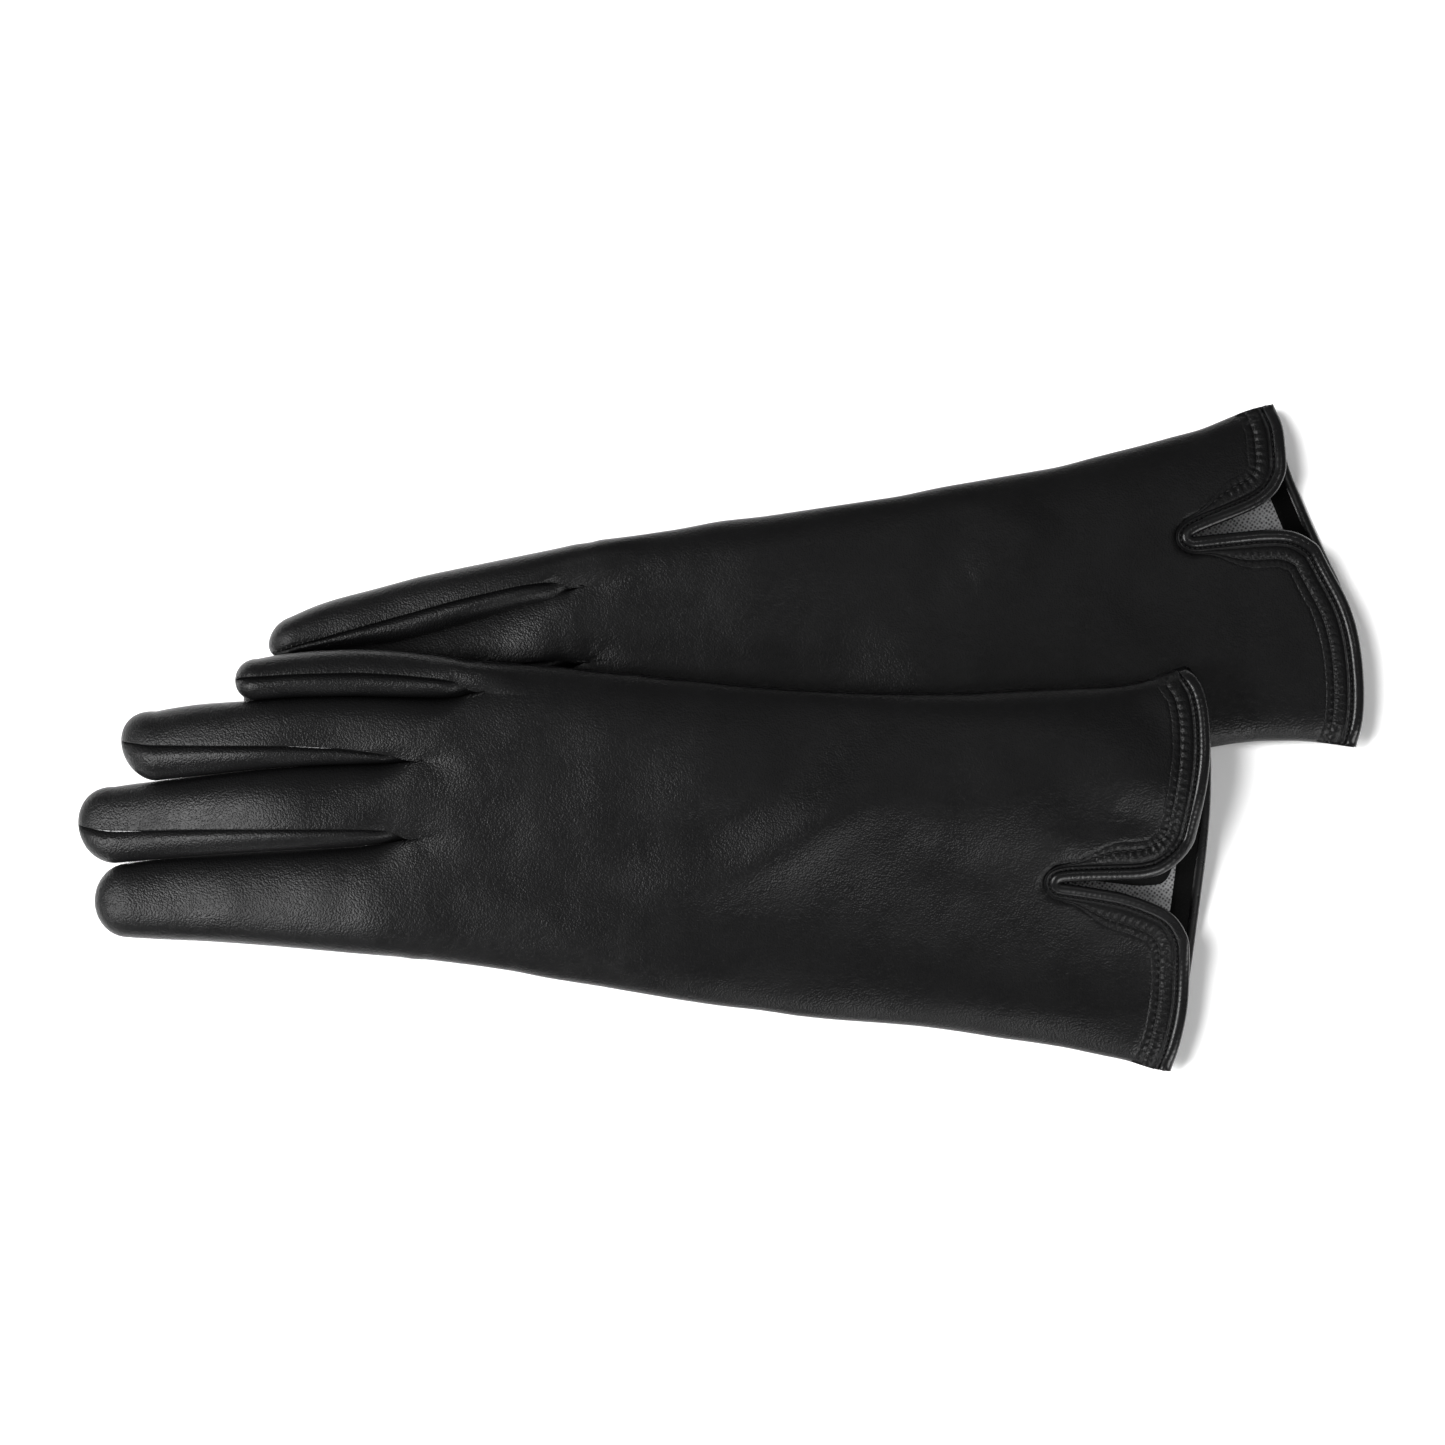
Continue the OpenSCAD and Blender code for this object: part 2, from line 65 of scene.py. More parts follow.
R_RING_1 = [(-73.75, -5.5), (-79.75, -6), (-89.75, -6.25), (-104.75, -6.75), (-114.75, -7.5), (-129.75, -9.25), (-139.75, -10.25), (-144.75, -11)]
R_MIDDLE_0 = [(-73.75, -5.5), (-79.75, -6), (-89.75, -6.25), (-104.75, -6.75), (-114.75, -7.5), (-129.75, -9.25), (-138.5, -10.25), (-147.25, -11.25), (-153.5, -12.25)]
R_MIDDLE_S = [(-75, -25), (-76, -24.25), (-78.5, -23.25), (-82.25, -22.38), (-89.75, -22), (-104.75, -22), (-129.75, -22.25), (-144.75, -22.62), (-154.75, -22.5)]
R_MIDDLE_1 = [(-75, -25), (-79.75, -25.25), (-83.5, -26), (-89.75, -26.75), (-104.75, -27.5), (-114.75, -28), (-129.75, -29.12), (-142.25, -30.25), (-152.25, -31.25)]
R_INDEX_0 = [(-75, -25), (-79.75, -25.25), (-83.5, -26), (-89.75, -26.75), (-104.75, -27.5), (-114.75, -28), (-129.75, -29.12), (-142.25, -30.25), (-151, -31.75)]
R_INDEX_1 = [(-73, -54.88), (-79.75, -54.25), (-89.75, -53.5), (-104.75, -52.25), (-114.75, -51.5), (-129.75, -50.62), (-142.25, -50.25), (-149.75, -49.75)]
L_HAND_I = [(-29.75, 49.75), (-19.75, 51), (-9.75, 52.5), (0.25, 54.5), (10.25, 55.5), (20.25, 57), (30.25, 58.5), (40.25, 60), (45.25, 60.75), (55.25, 63), (65.25, 64.75), (75.25, 66.5), (85.25, 68.25), (95.25, 71), (105.25, 73.5), (115.25, 76.25), (120.5, 77.5), (125.25, 79.5), (130.5, 81.75), (134, 83), (138.5, 84)]
L_HAND_L = [(-7.25, -15.75), (2, -16.75), (10.25, -17), (22.75, -16.5), (35.25, -15.5), (46.5, -14.25), (57.75, -12.75), (70.25, -11), (82.75, -9), (95.25, -7), (107.75, -4.75), (116.5, -3.25), (123, -2.25), (128.5, -1.25), (135.25, -0.5), (145.25, -0.5), (152, -1), (159.5, -2.12)]
L_CUFF = [(159.5, -2.12), (161, 2.75), (161.25, 11), (160.5, 19.75), (159.25, 27.75), (157.5, 34.5), (155.25, 40.5), (152.5, 46), (149.75, 52.25), (147, 58.5), (144.25, 66), (142.12, 72.5), (141.75, 76.5), (140.5, 81), (138.5, 84)]
L_VENT_A = [(117.75, 50.5), (120.5, 50.75), (125.25, 51.25), (130.5, 51.75), (135.25, 52.25), (140, 52.38), (143.25, 52), (146.5, 50.62), (149.75, 48.25)]
L_VENT_B = [(117.75, 50.5), (120.5, 52), (125.25, 53.88), (130, 55.75), (134.5, 57.75), (137.75, 60), (139.75, 62.25), (141.25, 65.75)]
L_PALM_CUFF = [(159.5, -2.12), (161.5, 2.75), (162, 11), (161.5, 19.75), (160.25, 27.75), (158.5, 34.5), (156.25, 40.5), (153.5, 45.5), (150.75, 51.75), (148.5, 56.5), (146.5, 61.75), (144, 67), (142.5, 72.5), (141.75, 77.25), (140.5, 81.75), (138.5, 84)]
L_KNOTS = [(-7.25, -15.75), (-15.5, 0), (-32.75, 19.25), (-34, 38), (-29.75, 49.75)]
L_LITTLE_0 = [(-7.25, -15.75), (-19.75, -18.25), (-29.75, -20.5), (-44.75, -24.25), (-59.75, -27.75), (-69.75, -30.25)]
L_LITTLE_1 = [(-15.5, 0), (-29.75, -5.75), (-44.75, -9.75), (-59.75, -13.5), (-72.25, -16.75)]
L_RING_0 = [(-15.5, 0), (-29.75, -5.75), (-44.75, -9.75), (-59.75, -13.5), (-79.75, -17.25), (-94.75, -19.25), (-102.25, -20.25)]
L_RING_S = [(-15.5, 0), (-19.75, 0.5), (-29.75, -0.75), (-44.75, -4.5), (-59.75, -8), (-79.75, -12.25), (-94.75, -14.75)]
L_RING_1 = [(-32.75, 19.25), (-39.75, 16.5), (-49.75, 13.75), (-64.75, 10), (-79.75, 6.25), (-94.75, 2.5), (-104.75, -0.25)]
L_MIDDLE_0 = [(-32.75, 19.25), (-39.75, 16.5), (-49.75, 13.75), (-64.75, 10), (-79.75, 6.25), (-94.75, 2.5), (-104.75, 0), (-113.5, -2.25)]
L_MIDDLE_S = [(-32.75, 19.25), (-36, 20), (-39.75, 20.12), (-49.75, 19.25), (-59.75, 16.75), (-69.75, 13.75), (-79.75, 11), (-94.75, 7.25), (-109.75, 3.75)]
L_MIDDLE_1 = [(-34, 38), (-36, 35.5), (-42.25, 34), (-49.75, 32.75), (-59.75, 30), (-69.75, 26.75), (-79.75, 23.5), (-94.75, 19.75), (-104.75, 17.25), (-116, 14.25)]
L_INDEX_0 = [(-34, 38), (-36, 35.5), (-42.25, 34), (-49.75, 32.75), (-59.75, 30), (-69.75, 27), (-79.75, 24.25), (-94.75, 22.5), (-104.75, 21.5)]
L_INDEX_S = [(-34, 38), (-36, 39), (-39.75, 39.38), (-44.75, 39.12), (-49.75, 38.38), (-54.75, 37.25), (-64.75, 35), (-74.75, 32.25), (-84.75, 29.5), (-94.75, 26.75), (-104.75, 23.88), (-108.5, 22.75)]
L_INDEX_1 = [(-29.75, 49.75), (-34.75, 49), (-39.75, 47.75), (-49.75, 45.75), (-54.75, 44.75), (-64.75, 42.75), (-74.75, 40.75), (-84.75, 38), (-94.75, 35.5), (-99.75, 34.12), (-104.75, 32), (-108.5, 30.25)]
GL = {
    "right": {
        "d": (-1.0, 0.0), "e": (0.0, 1.0), "flip": True, "seam_side": 1,
        "hand0": R_HAND_L, "hand1": R_HAND_I, "cuff": R_CUFF, "va": R_VENT_A, "vb": R_VENT_B, "palm": R_PALM_CUFF, "knots": R_KNOTS,
        "fingers": [
            ("little", R_LITTLE_0, R_LITTLE_S, R_LITTLE_1, (-120.25, 14.6), 5.6, dict(h=9.6, root=12.0, tip=11.6, s0=0.6, s1=1.0)),
            ("ring", R_RING_0, R_RING_S, R_RING_1, (-149.5, -0.4), 9.0, dict(h=10.4, root=11.8, tip=5.0, s0=0.5, s1=1.0)),
            ("middle", R_MIDDLE_0, R_MIDDLE_S, R_MIDDLE_1, (-161.0, -20.9), 9.4, dict(h=10.6, root=11.2, tip=0.2, s0=0.32, s1=1.0)),
            ("index", R_INDEX_0, None, R_INDEX_1, (-156.9, -40.6), 9.2, dict(h=10.6, root=9.0, tip=0.0, s0=0.05, s1=1.0)),
        ],
        "st_x": [-74, -60, -41.5, -19, 6, 33, 60.5, 82.5, 97.7, 107.5, 114.2],
        "st_a": [12, 12, 12, 12, 12, 12, 12, 12, 12, 12, 12],
        "st_b": [8.8, 8.8, 8.8, 8.8, 7.8, 4.5, 2, .8, .2, 0, 0],
        "r0": [.34, .34, .36, .36, .36, .36, .30, .26, .22, .22, .22], "r1": [.80, .78, .76, .74, .76, .80, .84, .84, .84, .84, .84],
        "vent_v": 0.556,
    },
    "left": {
        "d": (-0.9630, -0.2695), "e": (-0.2695, 0.9630), "flip": False, "seam_side": 0,
        "hand0": L_HAND_L, "hand1": L_HAND_I, "cuff": L_CUFF, "va": L_VENT_A, "vb": L_VENT_B, "palm": L_PALM_CUFF, "knots": L_KNOTS,
        "fingers": [
            ("little", L_LITTLE_0, None, L_LITTLE_1, (-73.25, -23.0), 7.0, dict(h=9.4, root=0.0, tip=0.0, s0=0.3, s1=1.0)),
            ("ring", L_RING_0, L_RING_S, L_RING_1, (-105.5, -10.6), 8.4, dict(h=9.6, root=0.0, tip=0.0, s0=0.3, s1=1.0)),
            ("middle", L_MIDDLE_0, L_MIDDLE_S, L_MIDDLE_1, (-119.0, 6.5), 8.4, dict(h=9.8, root=3.0, tip=0.0, s0=0.0, s1=0.36)),
            ("index", L_INDEX_0, L_INDEX_S, L_INDEX_1, (-113.0, 22.6), 7.0, dict(h=10.6, root=5.4, tip=0.0, s0=0.05, s1=1.0)),
        ],
        "st_x": [-31, -20, -2, 20, 42, 65, 89, 107, 124, 139, 149],
        "st_a": [0, 0, 0, 0, 0, 0, 0, 0, 0, 0, 0],
        "st_b": [5.4, 5.4, 5.4, 5.4, 4.6, 2.2, .5, 0, 0, 0, 0],
        "r0": [.50, .48, .46, .46, .48, .48, .48, .48, .48, .48, .48], "r1": [1.05] * 11,
        "vent_v": 0.695,
    },
}
HAND_H = 11.0
KB = {"little": 16, "ring": 24, "middle": 26, "index": 32}   # columns across each finger's back
KF = 8                                                        # columns across a visible fourchette
KU = 5                                                        # columns across the hidden part of a fourchette
ROWS_HAND = 190
ROWS_VENT = 60
ROWS_FINGER = 84
ROWS_CAP = 14


def sst(a, b, x):
    t = np.clip((np.asarray(x, float) - a) / (b - a), 0, 1)
    return t * t * (3 - 2 * t)


def lerp(a, b, t):
    return a + (b - a) * t


def natural(x, y, xq):
    """Natural cubic spline, straight beyond its ends."""
    x = np.asarray(x, float); y = np.asarray(y, float); xq = np.asarray(xq, float)
    n = len(x)
    h = np.diff(x)
    A = np.eye(n); b = np.zeros(n)
    for i in range(1, n - 1):
        A[i, i - 1] = h[i - 1]; A[i, i] = 2 * (h[i - 1] + h[i]); A[i, i + 1] = h[i]
        b[i] = 6 * ((y[i + 1] - y[i]) / h[i] - (y[i] - y[i - 1]) / h[i - 1])
    m = np.linalg.solve(A, b)
    k = np.clip(np.searchsorted(x, xq) - 1, 0, n - 2)
    dx0 = xq - x[k]; dx1 = x[k + 1] - xq; hk = h[k]
    v = (m[k] * dx1 ** 3 + m[k + 1] * dx0 ** 3) / (6 * hk) + (y[k] / hk - m[k] * hk / 6) * dx1 + (y[k + 1] / hk - m[k + 1] * hk / 6) * dx0
    s0 = (y[1] - y[0]) / h[0]; s1 = (y[-1] - y[-2]) / h[-1]
    v = np.where(xq < x[0], y[0] + s0 * (xq - x[0]), v)
    return np.where(xq > x[-1], y[-1] + s1 * (xq - x[-1]), v)


def dense(pts, step=0.5, sigma=2.0):
    """A smooth line through measured points, evenly spaced, its ends kept."""
    p = np.asarray(pts, float)
    t = np.r_[0, np.cumsum(np.hypot(*np.diff(p, axis=0).T))]
    n = max(int(t[-1] / step), 8)
    tq = np.linspace(0, t[-1], n + 1)
    q = np.c_[np.interp(tq, t, p[:, 0]), np.interp(tq, t, p[:, 1])]
    if sigma > 0:
        s = sigma / (t[-1] / n)
        r = int(3 * s) + 1
        w = np.exp(-0.5 * (np.arange(-r, r + 1) / s) ** 2); w /= w.sum()
        lo = 2 * q[0] - q[r:0:-1] if len(q) > r else np.repeat(q[:1], r, 0)
        hi = 2 * q[-1] - q[-2:-r - 2:-1] if len(q) > r else np.repeat(q[-1:], r, 0)
        e = np.r_[lo, q, hi]
        q = np.c_[np.convolve(e[:, 0], w, "valid"), np.convolve(e[:, 1], w, "valid")]
    t = np.r_[0, np.cumsum(np.hypot(*np.diff(q, axis=0).T))]
    return q, t


class Line:
    def __init__(self, pts, sigma=2.0):
        self.q, self.t = dense(pts, 0.5, sigma)
        self.u = self.t / self.t[-1]
        self.length = self.t[-1]

    def at(self, u):
        u = np.asarray(u, float)
        return np.stack([np.interp(u, self.u, self.q[:, 0]), np.interp(u, self.u, self.q[:, 1])], -1)


def dist_to(P, line):
    """Distance of each point of P (n, 2) from a dense polyline, and its nearest sample."""
    out = np.empty(len(P)); idx = np.empty(len(P), int)
    for i in range(0, len(P), 4000):
        d = ((P[i:i + 4000, None, :] - line[None, :, :]) ** 2).sum(-1)
        idx[i:i + 4000] = d.argmin(1)
        out[i:i + 4000] = np.sqrt(d.min(1))
    return out, idx


def archF(g, n=2.3):
    return np.clip(1 - np.abs(2 * np.clip(g, 0, 1) - 1) ** n, 0, 1) ** (1 / n)


def archH(v):
    return np.sqrt(np.clip(1 - np.abs(2 * np.clip(v, 0, 1) - 1) ** 5, 0, 1))


def cosine(n):
    return (1 - np.cos(np.linspace(0, math.pi, n + 1))) / 2


def under(g, x, v):
    """Height of the hand's underside at station x and share v of the width."""
    if "under" not in g:
        xs = np.arange(-240.0, 241.0)
        kr = np.exp(-0.5 * (np.arange(-36, 37) / 11.0) ** 2); kr /= kr.sum()
        g["under"] = [xs] + [np.convolve(np.pad(np.interp(xs, g["st_x"], g[k]), 36, mode="edge"), kr, "valid") for k in ("st_a", "st_b", "r0", "r1")]
    xs, A_, B_, R0, R1 = g["under"]
    a, b, r0, r1 = (np.interp(x, xs, T_) for T_ in (A_, B_, R0, R1))
    t = np.clip((v - r0) / (r1 - r0), 0, 1)
    return a + (b - a) * t * t * (3 - 2 * t)


def noise2(seed, cell, waves=26):
    """A smooth random height over the plan: many crossing waves, features about one cell wide."""
    r = np.random.default_rng(seed)
    ang = r.uniform(0, 2 * math.pi, waves); k = 2 * math.pi / (cell * 2.2 * r.uniform(0.7, 1.5, waves)); ph = r.uniform(0, 2 * math.pi, waves)
    kx, ky = k * np.cos(ang), k * np.sin(ang)

    def f(x, y):
        return np.cos(np.multiply.outer(x, kx) + np.multiply.outer(y, ky) + ph).sum(-1) * math.sqrt(2 / waves)
    return f


N_BIG = noise2(11, 26.0)
N_MID = noise2(12, 12.0)
N_SMALL = noise2(13, 5.0)


def ridges(P, rows):
    """Sum of soft ridges (amplitude > 0) and troughs along given lines: (points, amplitude, half width)."""
    z = np.zeros(len(P))
    for pts, amp, sig in rows:
        q, _ = dense(pts, 1.0, 4.0 if len(pts) > 2 else 0)
        d, k = dist_to(P, q)
        along = k / (len(q) - 1)
        z += amp * np.exp(-(d / sig) ** 2) * np.clip(np.sin(math.pi * np.clip(0.08 + 0.84 * along, 0, 1)) * 1.25, 0, 1)
    return z


FOLDS = {
    "right": [
        ([(-24, -42), (-14, -38), (2, -35), (19, -26.5), (30, -17), (40, -8), (46, 3)], 1.25, 7.5),      # the long soft ridge over the back
        ([(-20, -26), (1, -21), (15, -16), (22, -5), (30, 3)], -1.1, 6.5),                              # and the hollow beside it
        ([(56, 12), (72, 8), (90, 2), (104, -8), (110, -16)], 1.3, 9.5),
        ([(80, -24), (90, -27), (104, -26)], 0.7, 4.5),
        ([(46, -24), (56, -30), (72, -33)], -0.8, 6.5),
        ([(98, -16), (106, -21), (112, -22)], -0.7, 5.0),
        ([(50, -66), (70, -68.5), (96, -71)], 0.7, 5.5),
        ([(-18, -58), (-6, -60), (4, -61)], 0.5, 5.0),
        ([(-62, 4), (-40, 6), (-16, 3)], 0.5, 8.0),
        ([(-66, -16), (-50, -15), (-30, -11)], -0.4, 6.0),
        ([(-66, -42), (-46, -43), (-24, -46)], 0.7, 8.0),
        ([(100, 12), (108, 6), (112, -2)], -0.5, 4.0),
    ],
    "left": [
        ([(62, 40), (74, 46), (82, 58)], 1.1, 7.0),
        ([(48, 36), (58, 44), (66, 58)], -0.8, 7.0),
        ([(-24, 42), (6, 46), (40, 50)], 0.6, 9.0),
        ([(98, 32), (114, 40), (122, 58)], -0.8, 8.0),
        ([(106, 18), (126, 20), (146, 18)], 0.7, 8.0),
        ([(130, 66), (140, 70), (146, 76)], 0.5, 5.0),
        ([(-24, 26), (-8, 24), (14, 26)], -0.12, 7.0),
        ([(36, 26), (52, 22), (74, 20)], 0.5, 7.0),
    ],
}


def build_hand_map(g):
    knots = np.array(g["knots"], float)
    kb = [KB[f[0]] for f in g["fingers"]]
    shares = []
    row0 = []
    segs = np.hypot(*np.diff(knots, axis=0).T)
    cum = np.r_[0, np.cumsum(segs)] / segs.sum()
    for i, n in enumerate(kb):
        f = cosine(n)
        pts = knots[i] + (knots[i + 1] - knots[i]) * f[:, None]
        vv = cum[i] + (cum[i + 1] - cum[i]) * f
        if i:
            pts = pts[1:]; vv = vv[1:]
        row0.append(pts); shares.append(vv)
    row0 = np.concatenate(row0); shares = np.concatenate(shares)
    E0 = Line(g["hand0"]); E1 = Line(g["hand1"])
    g["row0"] = row0; g["v"] = shares; g["E0"] = E0; g["E1"] = E1
    g["cols"] = np.r_[0, np.cumsum(kb)]
    g["col_v"] = int(np.argmin(abs(shares - g["vent_v"])))
    return g


def coons(g, C1, U, V, row0):
    """Points (len U, len V, 2) of the patch between the two sides, the knuckle row and the cuff's edge."""
    U = np.asarray(U, float)[:, None, None]; Vv = np.asarray(V, float)[None, :, None]
    e0 = g["E0"].at(U[:, 0, 0])[:, None, :]; e1 = g["E1"].at(U[:, 0, 0])[:, None, :]
    c0 = row0[None]; c1 = C1.at(V)[None]
    a = e0[0, 0]; b = e1[0, 0]
    z0 = g["E0"].at(1.0)[None, None]; z1 = g["E1"].at(1.0)[None, None]
    return (1 - Vv) * e0 + Vv * e1 + (1 - U) * c0 + U * c1 - (
        (1 - U) * (1 - Vv) * row0[0] + (1 - U) * Vv * row0[-1] + U * (1 - Vv) * z0 + U * Vv * z1)


def hand_z(g, P, v, D, side, lift=0.0):
    """Height of the back (side 1) or the palm (side -1). D is the distance from the knuckle row."""
    zu = under(g, P[..., 0], v)
    H = HAND_H
    cols = g["strip_frac"]                     # each column's share across its own finger
    beta = sst(0, 1, (D / g["fade"]) ** 0.8)
    arch = (1 - beta) * archF(cols, 2.3)[None, :] + beta * archH(v)[None, :] if P.ndim == 3 else archH(v)
    return zu + H / 2 + side * (H / 2 - lift) * arch


def finish_grid(name, P, keep=None, flip=False):
    """Faces of a grid of points (r, c, 3)."""
    r, c = P.shape[:2]
    idx = np.arange(r * c).reshape(r, c)
    F = np.stack([idx[:-1, :-1], idx[1:, :-1], idx[1:, 1:], idx[:-1, 1:]], -1)
    if keep is not None:
        F = F[keep]
    F = F.reshape(-1, 4)
    if flip:
        F = F[:, ::-1]
    return {"name": name, "P": P.reshape(-1, 3).copy(), "F": F.copy()}


def clean(part):
    """Drops faces with no area and merges corners that share a point."""
    P, F = part["P"], part["F"]
    key = np.round(P * 2e4).astype(np.int64)
    _, inv, first = None, None, None
    u, first, inv = np.unique(key, axis=0, return_index=True, return_inverse=True)
    inv = inv.reshape(-1)
    P2 = P[first]
    faces = []
    for f in inv[F]:
        g = []
        for k in f:
            if k not in g:
                g.append(int(k))
        if len(g) >= 3:
            faces.append(g)
    part["P"], part["faces"] = P2, faces
    return part


def vertex_normals(parts):
    """Smooth normals over all the parts of one skin, joined where they share points."""
    allP = np.concatenate([p["P"] for p in parts])
    off = 0; tris = []
    for p in parts:
        for f in p["faces"]:
            for k in range(1, len(f) - 1):
                tris.append((f[0] + off, f[k] + off, f[k + 1] + off))
        off += len(p["P"])
    tris = np.array(tris)
    a, b, c = allP[tris[:, 0]], allP[tris[:, 1]], allP[tris[:, 2]]
    n = np.cross(b - a, c - a)
    key = np.round(allP * 1e4).astype(np.int64)
    _, inv = np.unique(key, axis=0, return_inverse=True)
    inv = inv.reshape(-1)
    acc = np.zeros((inv.max() + 1, 3))
    for k in range(3):
        np.add.at(acc, inv[tris[:, k]], n)
    ln = np.linalg.norm(acc, axis=1, keepdims=True); ln[ln == 0] = 1
    acc = acc / ln
    N = acc[inv]
    off = 0
    for p in parts:
        p["N"] = N[off:off + len(p["P"])]
        off += len(p["P"])


OBJ = {}


def make(part, mat, uvscale=None):
    me = bpy.data.meshes.new(part["name"])
    me.from_pydata((part["P"] / 1000.0).tolist(), [], part["faces"])
    me.polygons.foreach_set("use_smooth", [True] * len(me.polygons))
    me.update()
    if "N" in part:
        me.normals_split_custom_set_from_vertices(part["N"].tolist())
    me.materials.append(mat)
    o = bpy.data.objects.new(part["name"], me)
    bpy.context.scene.collection.objects.link(o)
    OBJ[part["name"]] = o
    return o


def edge_fn(g, pts, sigma=3.0):
    q, _ = dense(pts, 0.5, sigma)
    d = np.array(g["d"]); e = np.array(g["e"])
    a = q @ d; b = q @ e
    o = np.argsort(a)
    return lambda x: np.interp(x, a[o], b[o])


def undul(side, P, arch):
    x, y = P[..., 0].ravel(), P[..., 1].ravel()
    z = ridges(np.c_[x, y], FOLDS[side]) + 0.20 * N_BIG(x, y) + 0.10 * N_MID(x, y) + 0.025 * N_SMALL(x, y)
    return z.reshape(P.shape[:-1]) * np.clip(arch, 0, 1) ** 1.5


def crotch_wrinkles(g, P):
    """Small puckers that run from each fork into the hand."""
    z = np.zeros(P.shape[:-1])
    d = np.array(g["d"]); e = np.array(g["e"])
    for k, K in enumerate(g["knots"][1:-1]):
        v = P - np.array(K)
        a = -(v @ d); b = v @ e                       # a runs into the hand
        r = np.hypot(a, b) + 1e-6
        ang = np.arctan2(b, a)
        w = np.exp(-((r - 5.0) / 5.0) ** 2) * np.clip(np.cos(ang), 0, 1) ** 2
        z += w * 0.05 * np.cos(ang * 7.0 + k)
    return z


FORK = 0.80                                              # how near the surface a fork between two fingers ends


def root_arch(i, f):
    """Arch at the finger's root: the forks end near the surface, the glove's two outer sides at mid height."""
    f = np.asarray(f, float)
    inner = np.where(f < 0.5, i > 0, i < 3)
    dip = (1 - np.sin(np.pi * np.clip(f, 0, 1))) ** 1.3
    return np.where(inner, 1 - (1 - FORK) * dip, archF(f))


